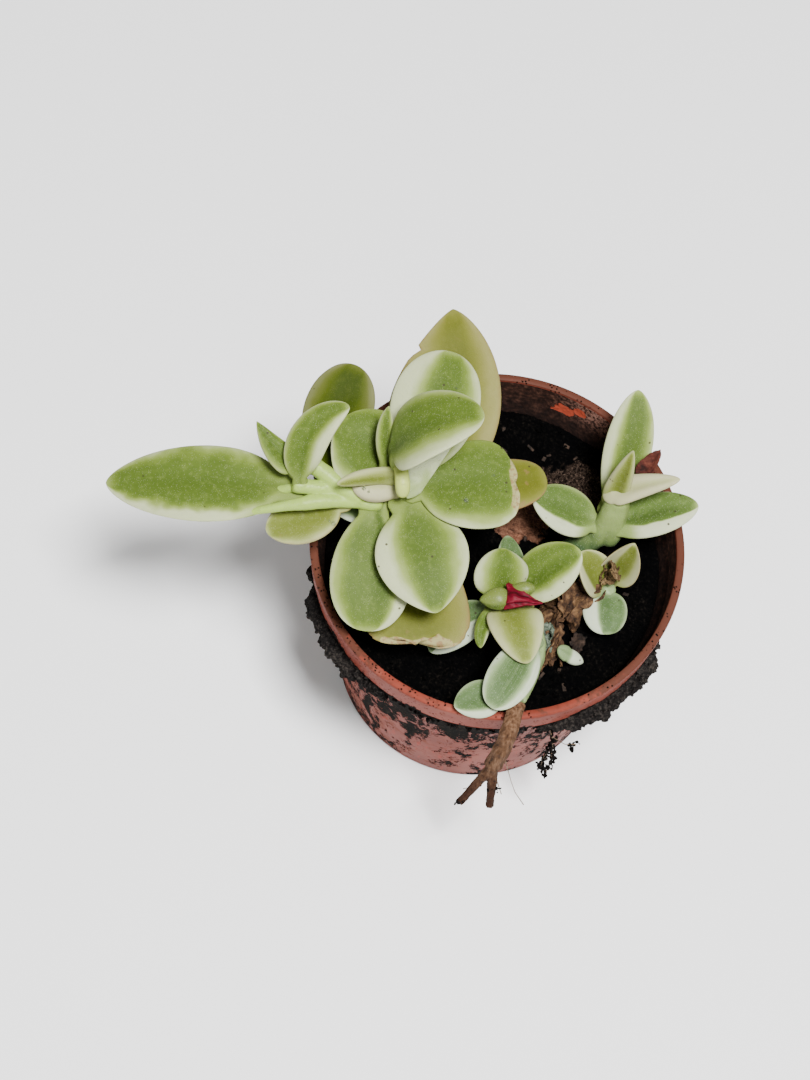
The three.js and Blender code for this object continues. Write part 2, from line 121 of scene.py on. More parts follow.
# What a leaf's form is unless LEAVES says otherwise. Turns are in degrees. A leaf points along its
# azimuth, seen from above. It rises at its foot, bends down on the way to its tip (sooner where
# early is below 1), sways to the left and is rolled about its own length. Its foot is as wide as
# neck, its stalk takes the share neck_length of it, and its blade is broadest at widest and slimmer
# with more fullness. A crease runs down its middle, and cup lifts its margins. Lean broadens the
# right half, or the left one where it is below 0, ragged wears the end back, and a notch cuts a
# margin: how far along, which side and how deep. Nudge moves the leaf off its solid's middle.
LEAF_FORM = dict(
    rise=0, bend=0, early=1, sway=0, roll=0, neck=3, neck_length=0.08, widest=0.45, fullness=1.05,
    thickness=2.2, crease=0.75, cup=0, lean=0, ragged=0, notch=None, nudge=(0, 0, 0),
)

# What a leaf's look is unless LEAVES says otherwise: its tint, and where green turns to cream on
# the way to its right-hand and its left-hand margin, as shares of the half width, seen from above
# with the tip ahead. Rib is how dark the line at rib_at is, partly the green's own deeper tone and
# partly painted shade in the crease that runs there. Patches is how blotchy the margin is, veins
# how clear the pale lines are, brown how far age shows, and torn where a dry end begins.
LEAF_LOOK = dict(
    tint="green", right=(0.7, 1.1), left=(0.7, 1.1), rib_at=0, rib=0.45, patches=0.12, veins=0,
    brown=0, torn=2,
)

# Every leaf, by the name of its solid
LEAVES = {
    "leaf_back_old": dict(
        azimuth=64, rise=20, bend=8, sway=46, length=42, width=20, widest=0.42, fullness=1.3,
        tint="old", right=(0.1, 1.0), left=(0.3, 1.1), brown=0.3, notch=(0.78, -1, 0.16), lean=-0.3,
        neck=5,
    ),
    "leaf_upper": dict(
        azimuth=76, rise=34, bend=34, sway=10, length=28, width=18, widest=0.54, fullness=1.1,
        right=(0.35, 1.1), left=(0, 0.75), neck=5,
    ),
    "leaf_arching": dict(
        azimuth=31, rise=125, bend=130, early=0.6, roll=15, length=27.5, width=16.6, widest=0.42,
        neck_length=0.2, right=(0.1, 1.05), left=(0.5, 1.15), neck=4.4, fullness=0.92,
        nudge=(0.2, 2.8, 0), sway=-20,
    ),
    "leaf_right_torn": dict(
        azimuth=12, rise=6, bend=10, length=22, width=20, widest=0.6, fullness=0.75, right=(0.45, 1.1),
        left=(0.5, 1.7), torn=0.94, tint="green", neck=5, ragged=1.2,
    ),
    "leaf_right_under": dict(
        azimuth=23, rise=4, bend=6, length=28, width=12, widest=0.6, tint="old", right=(0.3, 1.3),
        left=(0.4, 1.3), brown=0.9, neck=4,
    ),
    "leaf_front": dict(
        azimuth=-67, rise=4, bend=24, length=24, width=19, widest=0.46, fullness=1.4, neck=6,
        right=(0.15, 0.85), left=(0.3, 1.05),
    ),
    "leaf_front_old": dict(
        azimuth=-80, rise=0, bend=10, length=25.5, width=22, widest=0.7, fullness=0.7, tint="old",
        right=(0.3, 1.3), left=(0.2, 1.2), torn=0.955, brown=0.45, neck=5, ragged=2.6,
    ),
    "leaf_broad": dict(
        azimuth=139, rise=34, bend=26, sway=20, length=18, width=19, right=(0.6, 1.4), left=(0.5, 1.1),
        neck=4, nudge=(0.8, 0.3, 0),
    ),
    "leaf_slim": dict(
        azimuth=122, rise=58, bend=20, sway=-40, length=13, width=3.6, right=(0.2, 1.2),
        left=(0.2, 1.2), neck=3, nudge=(-1.8, 0, 0.5), fullness=1.35,
    ),
    "leaf_edge": dict(
        azimuth=-165, rise=15, length=12, width=3.2, roll=60, tint="pale", right=(-0.1, 1.4),
        left=(-0.1, 1.4), sway=22, neck=3.4, crease=0,
    ),
    "leaf_cream": dict(
        azimuth=-140, rise=10, sway=-60, length=8.4, width=4.6, thickness=4, tint="cream",
        right=(0, 0.5), left=(0, 0.5), brown=0.12, neck=4, widest=0.5, crease=0, nudge=(-0.3, 1.3, 0),
    ),
    "leaf_low_left": dict(
        azimuth=170, rise=10, bend=10, length=18, width=9, tint="shade", right=(0.4, 1), left=(0.4, 1),
        neck=3,
    ),
    "leaf_front_left": dict(
        azimuth=-84, rise=-8, bend=15, length=26, width=16.5, widest=0.56, rib_at=-0.3, rib=1,
        right=(0.45, 1.15), left=(0.42, 0.8), neck=5,
    ),
    # Its dark tint is painted shade
    "leaf_back_left": dict(
        azimuth=99, rise=-22, bend=-40, length=28, width=14.5, widest=0.6, tint="dark",
        right=(0.25, 1.05), left=(0.25, 1.05), fullness=1.25, neck=4, sway=-28, nudge=(-0.4, 1.3, 0),
    ),
    "leaf_left_arching": dict(
        azimuth=108, rise=62, bend=50, sway=-90, length=21, width=8.4, right=(0, 0.8),
        left=(0.5, 1.15), neck=2.4, nudge=(-0.9, -0.8, -0.2),
    ),
    "leaf_left_slim": dict(
        azimuth=158, rise=26, bend=6, sway=-30, length=13, width=5.2, right=(0.6, 1.2),
        left=(0.5, 1.2), neck=3, widest=0.28, fullness=1.25,
    ),
    "leaf_far_left": dict(
        azimuth=184, rise=-2, bend=12, length=39, width=17, widest=0.43, fullness=1.12,
        right=(0.4, 1.25), left=(0.45, 0.95), patches=0.5, neck=5.4,
    ),
    # Its pale tint is painted light, brightening the leaf where the stems above shade it
    "leaf_left_old": dict(
        azimuth=-152, rise=-20, bend=-20, length=17, width=11, tint="pale", right=(0.4, 1.1),
        left=(0.5, 1.2), brown=0.3, neck=3.4,
    ),
    "right_leaf_left": dict(
        azimuth=172, rise=22, bend=5, length=15, width=11, tint="soft", right=(0.6, 1.2),
        left=(0.4, 0.6), neck=3.4, neck_length=0.02,
    ),
    "right_leaf_right": dict(
        azimuth=13, rise=25, bend=8, length=17, width=9.5, tint="soft", right=(0.35, 0.5),
        left=(0.85, 1.1), rib_at=0.05, rib=1, neck=5.2, nudge=(0, 0.6, 0), neck_length=0,
    ),
    "right_leaf_tall": dict(
        azimuth=78, rise=38, bend=14, sway=14, length=26.5, width=10, widest=0.5, right=(0.35, 1.15),
        left=(0.15, 0.8), neck=4, fullness=1.25, tint="green",
    ),
    "right_leaf_small": dict(
        azimuth=72, rise=66, length=14, width=4.4, right=(0.3, 1.3), left=(0.1, 1.1), neck=3.6,
        widest=0.32, fullness=1.1, tint="pale", nudge=(0.3, 2.3, -1), neck_length=0.02,
    ),
    "right_leaf_cream": dict(
        azimuth=9, rise=34, bend=14, length=14.5, width=5.2, tint="cream", right=(0.2, 0.8),
        left=(0, 0.5), neck=4, widest=0.24, fullness=0.75, nudge=(-2.6, 0.9, 1.6), neck_length=0.02,
    ),
    "bud_leaf_left": dict(
        azimuth=150, rise=58, bend=10, length=12, width=8.6, cup=0.4, tint="pale", right=(0.6, 1.1),
        left=(0.3, 0.6), brown=0.12, neck=2.6, nudge=(0.6, -1.3, 0), neck_length=0.02,
    ),
    "bud_leaf_right": dict(
        azimuth=52, rise=60, bend=-10, roll=-25, length=12, width=8, cup=0.8, tint="pale",
        right=(0.3, 0.9), left=(0.1, 0.5), brown=0.55, neck=2.6, nudge=(-0.9, -0.2, 0),
        neck_length=0.02,
    ),
    "bud_leaf_low": dict(
        azimuth=-82, rise=12, bend=25, length=9.5, width=9.5, tint="shade", right=(0.1, 0.5),
        left=(0.7, 1.1), neck=3, fullness=0.75, neck_length=0, nudge=(-1.1, 1, 0),
    ),
    "front_leaf_back": dict(
        azimuth=100, rise=66, bend=66, length=10.5, width=12, cup=-0.2, right=(0.1, 1), left=(0.2, 1),
        neck=5, neck_length=0.03, nudge=(-0.4, 0, 0), roll=-16,
    ),
    "front_leaf_right": dict(
        azimuth=34, rise=42, bend=22, length=16.5, width=11.5, right=(0.2, 0.8), left=(0.6, 1.2),
        neck=4, rib_at=0.08, rib=0.9, nudge=(-1.4, 1.7, 0),
    ),
    "front_leaf_middle": dict(
        azimuth=-78, rise=42, bend=62, length=14.5, width=10.5, fullness=0.92, tint="pale",
        right=(0.2, 1.2), left=(0.1, 1.1), brown=0.1, neck=7, widest=0.34, crease=0.3,
        nudge=(-0.3, 0.8, 0), sway=14,
    ),
    "front_leaf_left": dict(
        azimuth=-165, rise=-25, bend=5, sway=45, length=16, width=8.5, tint="shade", right=(0.7, 1.1),
        left=(0.1, 0.3), neck=4,
    ),
    "front_leaf_small": dict(
        azimuth=-125, rise=5, bend=25, sway=50, length=8, width=3, right=(0.7, 1.2), left=(0.4, 0.9),
    ),
    "front_leaf_hidden": dict(
        azimuth=103, rise=-8, length=16, width=6, tint="shade", right=(0.7, 1.1), left=(0.7, 1.1),
    ),
    "front_leaf_low": dict(
        azimuth=-106, rise=30, bend=46, sway=-12, length=18.5, width=9.5, widest=0.55, tint="shade",
        right=(0.3, 1.1), left=(0.35, 0.85), neck=4, veins=0.3,
    ),
    "front_leaf_over_rim": dict(
        azimuth=206, rise=3, bend=4, length=11, width=8, fullness=1.2, tint="shade", right=(0.5, 1.2),
        left=(0.4, 0.8),
    ),
    "front_leaf_hanging": dict(
        azimuth=-10, rise=-35, bend=-20, length=4.4, width=2.8, tint="shade", right=(-1, -0.4),
        left=(-1, -0.4), neck=2.6, nudge=(2.7, 1.5, -4.6), crease=0, fullness=1.3,
    ),
}


# Shader building


class Value:
    """A shader socket that sums, differences and products can be written with."""

    def __init__(self, finish, socket):
        self.finish = finish
        self.socket = socket

    def maths(self, operation, *others):
        """Another Math node, with this value first."""
        return self.finish.add(
            "ShaderNodeMath", {"operation": operation}, dict(enumerate((self, *others)))
        )

    def __add__(self, other):
        return self.maths("ADD", other)

    __radd__ = __add__

    def __mul__(self, other):
        return self.maths("MULTIPLY", other)

    __rmul__ = __mul__

    def __sub__(self, other):
        return self.maths("SUBTRACT", other)

    def __rsub__(self, other):
        return self.finish.add("ShaderNodeMath", {"operation": "SUBTRACT"}, {0: other, 1: self})

    def __truediv__(self, other):
        return self.maths("DIVIDE", other)

    def __rtruediv__(self, other):
        return self.finish.add("ShaderNodeMath", {"operation": "DIVIDE"}, {0: other, 1: self})

    def __neg__(self):
        return self * -1

    def __abs__(self):
        return self.maths("ABSOLUTE")

    def most(self, other):
        return self.maths("MAXIMUM", other)

    def least(self, other):
        return self.maths("MINIMUM", other)

    def rise(self, low, high):
        """From 0 at low to 1 at high, smoothly."""
        return self.finish.add(
            "ShaderNodeMapRange",
            {"interpolation_type": "SMOOTHSTEP"},
            {"Value": self, "From Min": low, "From Max": high},
        )


class Finish:
    """A material that is being put together, with its surface shader."""

    def __init__(self, name, **constants):
        self.material = bpy.data.materials.new(name)
        self.material.use_nodes = True
        self.tree = self.material.node_tree
        self.tree.nodes.clear()
        self.shader = self.tree.nodes.new("ShaderNodeBsdfPrincipled")
        output = self.tree.nodes.new("ShaderNodeOutputMaterial")
        self.tree.links.new(self.shader.outputs[0], output.inputs[0])
        for socket, number in constants.items():
            self.shader.inputs[socket.replace("_", " ")].default_value = number
        self.place = self.add("ShaderNodeTexCoord", output="Object")

    def add(self, kind, settings=None, inputs=None, output=0):
        """Adds a node and returns one of its outputs."""
        node = self.tree.nodes.new(kind)
        for setting, choice in (settings or {}).items():
            if setting == "stops":
                self.set_stops(node.color_ramp, choice)
            else:
                setattr(node, setting, choice)
        for socket, entry in (inputs or {}).items():
            self.feed(node.inputs[socket], entry)
        return Value(self, node.outputs[output])

    def set_stops(self, ramp, stops):
        """Gives a colour ramp its stops."""
        while len(ramp.elements) < len(stops):
            ramp.elements.new(1)
        for element, (position, colour) in zip(ramp.elements, stops):
            element.position = position
            element.color = (*colour, 1)

    def feed(self, socket, entry):
        """Links a value to a socket, or sets a constant on it."""
        if isinstance(entry, Value):
            self.tree.links.new(entry.socket, socket)
        elif socket.type == "RGBA":
            socket.default_value = (*entry, 1)
        else:
            socket.default_value = entry

    def scaled(self, vector, scale, turn=(0, 0, 0)):
        """A vector turned about and scaled each way."""
        return self.add("ShaderNodeMapping", {}, {0: vector, "Rotation": turn, "Scale": scale})

    def stretched(self, scale, turn=(0, 0, 0)):
        """Object coordinates scaled each way, for a pattern that is drawn out where it is below 1."""
        return self.scaled(self.place, scale, turn)

    def noise(self, size, detail=3, roughness=0.5, place=None, distortion=0):
        """Noise from 0 to 1 with lumps of a size in millimetres."""
        return self.add(
            "ShaderNodeTexNoise",
            {},
            {
                "Vector": place or self.place, "Scale": 1 / (size * MM), "Detail": detail,
                "Roughness": roughness, "Distortion": distortion,
            },
        )

    def flat_noise(self, across, up, detail, roughness, distortion=0):
        """Noise from 0 to 1 on a sheet, with lumps about as large as 1 across and up."""
        sheet = self.add("ShaderNodeCombineXYZ", {}, {0: across, 1: up})
        return self.noise(1 / MM, detail, roughness, sheet, distortion)

    def cells(self, size, output="Distance", feature="F1", place=None):
        """Cells of a size in millimetres: the distance from each one's centre, or its own shade."""
        return self.add(
            "ShaderNodeTexVoronoi",
            {"feature": feature},
            {"Vector": place or self.place, "Scale": 1 / (size * MM)},
            output,
        )

    def parts(self, vector):
        """A vector's three parts."""
        split = self.add("ShaderNodeSeparateXYZ", {}, {0: vector}).socket.node
        return [Value(self, socket) for socket in split.outputs]

    def mix(self, share, first, second):
        """A colour that share of the way from the first to the second."""
        return self.add(
            "ShaderNodeMix", {"data_type": "RGBA"}, {0: share, 6: first, 7: second}, output=2
        )

    def ramp(self, value, *stops):
        """A colour that a value picks, from stops of a position and a colour."""
        return self.add("ShaderNodeValToRGB", {"stops": stops}, {0: value})

    def bumps(self, height, depth):
        """A bumpy normal, from heights of 0 to 1 and how deep that is in millimetres."""
        return self.add("ShaderNodeBump", {}, {"Height": height, "Distance": depth * MM, "Strength": 1})

    def wear(self, colour, roughness=None, normal=None):
        """Feeds the surface shader, and returns the finished material."""
        self.feed(self.shader.inputs["Base Color"], colour)
        if roughness is not None:
            self.feed(self.shader.inputs["Roughness"], roughness)
        if normal is not None:
            self.feed(self.shader.inputs["Normal"], normal)
        return self.material


# Modelling


def only(piece):
    """Selects one object and nothing else."""
    bpy.ops.object.select_all(action="DESELECT")
    piece.select_set(True)
    bpy.context.view_layer.objects.active = piece


def add_primitive(kind, name, **sizes):
    """Adds a primitive with nothing else selected, and names it."""
    bpy.ops.object.select_all(action="DESELECT")
    getattr(bpy.ops.mesh, f"primitive_{kind}_add")(**sizes)
    piece = bpy.context.object
    piece.name = name
    return piece


def joined(pieces, name):
    """Joins pieces as one, and names it."""
    only(pieces[0])
    for piece in pieces:
        piece.select_set(True)
    bpy.ops.object.join()
    pieces[0].name = name
    return pieces[0]


def shaped(piece, kind, **settings):
    """Adds a modifier and applies it."""
    only(piece)
    modifier = piece.modifiers.new("Shape", kind)
    for setting, choice in settings.items():
        setattr(modifier, setting, choice)
    bpy.ops.object.modifier_apply(modifier=modifier.name)
    return piece


def roughened(piece, size, depth):
    """Moves a surface in and out by a depth, in lumps of a size."""
    lumps = bpy.data.textures.new(f"lumps_{size}", "CLOUDS")
    lumps.noise_scale = size * MM
    return shaped(
        piece, "DISPLACE", texture=lumps, texture_coords="LOCAL", strength=depth * MM, mid_level=0.5
    )


def faced_outwards(piece):
    """Turns every face of a closed piece outwards."""
    only(piece)
    bpy.ops.object.mode_set(mode="EDIT")
    bpy.ops.mesh.select_all(action="SELECT")
    bpy.ops.mesh.normals_make_consistent(inside=False)
    bpy.ops.object.mode_set(mode="OBJECT")
    return piece


def refined_copy(node, name, fineness, smoothing, grown=()):
    """A copy of a solid, with anything that grows from it, remeshed finely enough to be shaped."""
    piece = frame["nodes"][node].copy()
    piece.data = piece.data.copy()
    for key in list(piece.keys()):
        del piece[key]
    piece.name = name
    piece.parent = None
    piece.hide_render = False
    piece.hide_viewport = False
    piece.data.materials.clear()
    bpy.context.scene.collection.objects.link(piece)
    only(piece)
    bpy.ops.object.mode_set(mode="EDIT")
    bpy.ops.mesh.select_all(action="SELECT")
    bpy.ops.mesh.remove_doubles(threshold=0.01 * MM)
    bpy.ops.object.mode_set(mode="OBJECT")
    if grown:
        joined([piece, *grown], name)
    shaped(piece, "REMESH", mode="VOXEL", voxel_size=fineness * MM)
    return shaped(piece, "SMOOTH", factor=0.5, iterations=smoothing)


def settle(piece, slot, material, *nodes, smooth=True):
    """Gives a finished piece its material and its place in the assembly."""
    only(piece)
    bpy.ops.object.transform_apply(location=True, rotation=True, scale=True)
    if smooth:
        bpy.ops.object.shade_smooth()
    piece.data.materials.clear()
    piece.data.materials.append(material)
    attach(piece, "root")
    if nodes:
        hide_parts(*nodes)
    return piece


def scattered(source, name, places):
    """Copies of a piece, each turned, scaled and moved by a matrix, joined as one."""
    copies = []
    for place in places:
        copy = source.copy()
        copy.data = source.data.copy()
        copy.data.transform(place)
        bpy.context.scene.collection.objects.link(copy)
        copies.append(copy)
    bpy.data.objects.remove(source)
    return joined(copies, name)


def crumb(name, seed):
    """One angular crumb of soil about a millimetre across."""
    piece = add_primitive("ico_sphere", name, subdivisions=1, radius=0.5 * MM)
    source = random.Random(seed)
    for vertex in piece.data.vertices:
        vertex.co *= source.uniform(0.65, 1.25)
    return piece


def turned_about(source):
    """A random turn."""
    around, back, aside = (
        Matrix.Rotation(source.uniform(0, math.tau), 4, axis) for axis in ("X", "Y", "Z")
    )
    return around @ back @ aside


def crumb_place(spot, sizes, source):
    """Where a crumb lies in millimetres, how wide it is each way, and a random turn."""
    squash = Matrix.Diagonal((*sizes, 1))
    return Matrix.Translation(Vector(spot) * MM) @ turned_about(source) @ squash


def strand(name, points, thickness, taper=0.6):
    """A thin thread or stalk through points in millimetres, made of a chain of vertices."""
    piece = add_primitive("plane", name, size=MM)
    bpy.ops.object.mode_set(mode="EDIT")
    bpy.ops.mesh.select_mode(type="VERT")
    bpy.ops.mesh.select_all(action="SELECT")
    bpy.ops.mesh.merge(type="CENTER")
    bpy.ops.transform.translate(value=Vector(points[0]) * MM)
    for before, after in zip(points, points[1:]):
        step = (Vector(after) - Vector(before)) * MM
        bpy.ops.mesh.extrude_vertices_move(TRANSFORM_OT_translate={"value": step})
    bpy.ops.object.mode_set(mode="OBJECT")
    only(piece)
    modifier = piece.modifiers.new("Thread", "SKIN")
    last = len(points) - 1
    for i, entry in enumerate(piece.data.skin_vertices[0].data):
        radius = thickness / 2 * (1 - (1 - taper) * i / last) * MM
        entry.radius = (radius, radius)
    bpy.ops.object.modifier_apply(modifier=modifier.name)
    return shaped(piece, "SUBSURF", levels=1, render_levels=1)


def extent(points):
    """The least and the most that points reach along each axis."""
    least = Vector([min(point[i] for point in points) for i in range(3)])
    most = Vector([max(point[i] for point in points) for i in range(3)])
    return least, most


def ball_place(vertex):
    """A vertex of a ball of radius 1, as its share of the way from the top to the bottom, and how
    far it lies across and above the ball's axis, from -1 to 1."""
    x, y, z = vertex.co
    around = math.hypot(x, y)
    share = (1 - min(max(z, -1), 1)) / 2
    across, above = (x / around, y / around) if around > 1e-5 else (0, 0)
    return share, across, above


def wall_radius(z):
    """The radius of the pot's outer wall below the collar, at a height in millimetres."""
    return BASE_RADIUS + (BODY_TOP_RADIUS - BASE_RADIUS) * z / STEP_HEIGHT


def about_axis(radius, turn):
    """A place at a distance from the pot's axis and a turn about it, in radians."""
    return radius * math.cos(turn), radius * math.sin(turn)


# Materials


def smears(finish, x, y, z):
    """Where dried soil sticks to the outside of the pot, from 0 to 1."""
    around = y.maths("ARCTAN2", x)
    blots = finish.flat_noise(around * 6.5, z * 75, detail=6, roughness=0.62, distortion=0.5)
    scraped = finish.flat_noise(around * 24, z * 270, detail=4, roughness=0.7)
    grains = finish.noise(0.8, detail=4, roughness=0.7)
    ragged = (blots - 0.5) * 2.6 + (scraped - 0.5) * 1.3 + (grains - 0.5) * 1.3
    high = z.rise(0.043, 0.055) * 0.7 + z.rise(0.002, 0.036) * 0.9
    sides = abs(x).rise(0.012, 0.034) * 0.25
    front = y.rise(0.03, -0.012)
    below_collar = z.rise(0.0583, 0.0578)
    near_step = z.rise(0.0618, 0.0582) * 0.75
    wall = (ragged + high + sides + front * 0.5 - 1.32).rise(0, 0.08) * below_collar
    collar = (ragged + near_step + sides + front * 0.3 - 1.2).rise(0, 0.08)
    return wall.most(collar)


def pot_finish(settings):
    """Dull terracotta-coloured plastic, with dried soil smeared on it."""
    finish = Finish("terracotta_plastic", Specular_IOR_Level=0.04)
    x, y, z = finish.parts(finish.place)
    clouds = finish.noise(14, detail=4)
    scuffs = finish.noise(1.6, detail=5, roughness=0.7)
    plastic = finish.ramp(
        clouds * 0.7 + scuffs * 0.3,
        (0.3, settings.plastic_deep),
        (0.5, settings.plastic),
        (0.7, settings.plastic_faded),
    )
    low_left = x.rise(0, -0.03) * z.rise(0.054, 0.04)
    dust = (finish.noise(4, detail=5, roughness=0.6) + low_left * 0.2).rise(0.57, 0.7)
    plastic = finish.mix(dust * 0.3, plastic, settings.dust)
    lengthwise = finish.stretched((1, 1, 0.14), turn=(0.1, 0, 0))
    scratches = finish.noise(1.2, detail=4, place=lengthwise).rise(0.6, 0.68)
    plastic = finish.mix(scratches * z.rise(0.06, 0.054) * 0.7, plastic, settings.scratches)
    lip = z.rise(0.0654, 0.0658)
    sides = abs(x).rise(0.018, 0.034) + y.rise(0, 0.03)
    stained = (finish.noise(2.2, detail=4, roughness=0.65) + sides * 0.3 - 0.06).rise(0.42, 0.62)
    plastic = finish.mix(stained * lip * 0.8, plastic, settings.stains)
    left = x.rise(0.012, -0.012)
    gathered = (finish.noise(2.4, detail=4) + left * 0.1).rise(0.5, 0.6)
    grains = finish.cells(0.75).rise(0.3, 0.16) * gathered
    soil = smears(finish, x, y, z).most(grains * (lip * 0.9 + z.rise(0.03, 0.06) * 0.7).least(1))
    dry = finish.noise(0.9, detail=4, roughness=0.7).rise(0.5, 0.68) * 0.5
    earth = finish.mix(dry, settings.smears, settings.dry_smears)
    colour = finish.mix(soil, plastic, earth)
    height = soil * 0.8 + scuffs * 0.12 + finish.noise(0.5) * soil * 0.5
    roughness = (0.5 + soil * 0.5 + dust * 0.2).least(1)
    return finish.wear(colour, roughness, finish.bumps(height, 0.35))


def pot_inside_finish(settings):
    """The inner wall: a red-brown film of soil, painted shade lower down, and two orange patches."""
    finish = Finish("terracotta_plastic_inside", Specular_IOR_Level=0.1)
    x, y, z = finish.parts(finish.place)
    film = finish.noise(5, detail=6, roughness=0.62)
    around = y.maths("ARCTAN2", x)
    # Two bright orange patches near the rim at the back, smoother and a little sunk
    patch_shapes = 0
    for at, level, spread, tallness in ((1.3, 0.0595, 9, 330), (1.17, 0.0618, 16, 480)):
        across = (around - at) * spread
        above = (z - level) * tallness
        patch_shapes = (1 - across * across - above * above).most(patch_shapes)
    orange_patches = (film + patch_shapes * 0.42).rise(0.74, 0.755)
    coat = finish.ramp(
        finish.noise(1.4, detail=5, roughness=0.7),
        (0.3, (0.006, 0.004, 0.003)),
        (0.52, (0.028, 0.012, 0.008)),
        (0.72, (0.1, 0.045, 0.03)),
    )
    # Painted shade: further down the inner wall the film turns almost black
    near_rim = z.rise(0.052, 0.066)
    coat = finish.mix(near_rim * 0.75 + 0.25, (0.004, 0.003, 0.003), coat)
    grains = finish.noise(0.7, detail=5, roughness=0.75).rise(0.44, 0.56)
    dusty = around.rise(1.4, 1.1) * around.rise(0.55, 0.8) * z.rise(0.056, 0.064) * grains
    coat = finish.mix(dusty * 0.9, coat, settings.inside_dust)
    colour = finish.mix(orange_patches, coat, settings.patch_orange)
    height = finish.noise(0.8, detail=4) - orange_patches * 0.6
    return finish.wear(colour, 0.8 - orange_patches * 0.35, finish.bumps(height, 0.4))


def clod_patches(finish, colour, x, y):
    """Adds a patch of fibres at the back of the soil and a red-brown one under the dry clod."""
    # The red-brown patch round the clod is partly dry soil and partly a painted pool of light
    red = finish.ramp(
        finish.noise(0.6, detail=5, roughness=0.75),
        (0.3, (0.045, 0.02, 0.012)),
        (0.5, (0.15, 0.062, 0.036)),
        (0.7, (0.27, 0.13, 0.08)),
    )
    fibres = finish.ramp(
        finish.noise(0.5, detail=5, roughness=0.8, distortion=1),
        (0.44, (0.002, 0.0015, 0.0013)),
        (0.54, (0.034, 0.022, 0.016)),
        (0.66, (0.15, 0.105, 0.078)),
    )
    for across, away, tint in (
        ((x - 0.0165) * 100, (y - 0.019) * 140, fibres),
        ((x - 0.0047) * 145, (y - 0.0095) * 190, red),
    ):
        wander = (finish.noise(2.5, detail=4) - 0.5) * 1.1
        near = (across * across + away * away).maths("SQRT") + wander
        colour = finish.mix(near.rise(1, 0.8), colour, tint)
    return colour


def peat_finish(name="peat", patches=True, dryness=1):
    """Almost black soil with paler grains. Dry soil is paler all over and a little browner."""
    finish = Finish(name, Specular_IOR_Level=0.02)
    x, y, _ = finish.parts(finish.place)
    grain = finish.noise(0.7, detail=5, roughness=0.75)
    blue = 1 if patches else 0.75
    green = blue**0.5
    paler = math.sqrt(dryness)
    # At a dryness of 1, for the soil in the pot, these near-black stops are partly painted shade
    colour = finish.ramp(
        grain * 0.75 + finish.noise(6, detail=3) * 0.25,
        (0.35, (0.0004 * dryness, 0.0004 * dryness, 0.0005 * dryness * blue)),
        (0.5, (0.0009 * dryness, 0.0009 * dryness * green, 0.001 * dryness * blue)),
        (0.58, (0.0028 * dryness, 0.0024 * dryness, 0.0021 * dryness)),
        (0.7, (0.015 * paler, 0.012 * paler, 0.0095 * paler)),
        (0.8, (0.055 * paler, 0.042 * paler, 0.033 * paler)),
    )
    if patches:
        colour = clod_patches(finish, colour, x, y)
    height = grain + finish.cells(0.8) * 0.6
    return finish.wear(colour, 0.95, finish.bumps(height, 0.5))


def clod_finish(settings):
    """Dry, red-brown, crumbly soil, its brightness partly painted light."""
    finish = Finish("dry_clod", Specular_IOR_Level=0.1)
    grain = finish.noise(0.7, detail=5, roughness=0.75)
    colour = finish.ramp(
        grain * 0.7 + finish.noise(3, detail=3) * 0.3,
        (0.36, settings.clod_dark),
        (0.5, settings.clod),
        (0.66, settings.clod_light),
    )
    return finish.wear(colour, 0.95, finish.bumps(grain + finish.cells(0.9) * 0.6, 0.5))


def fleshy(name, shine):
    """The start of a finish for watery green flesh, which lets a little light through."""
    return Finish(
        name, Subsurface_Weight=0.12, Subsurface_Radius=(0.8, 1, 0.3), Subsurface_Scale=0.8 * MM,
        Specular_IOR_Level=shine,
    )


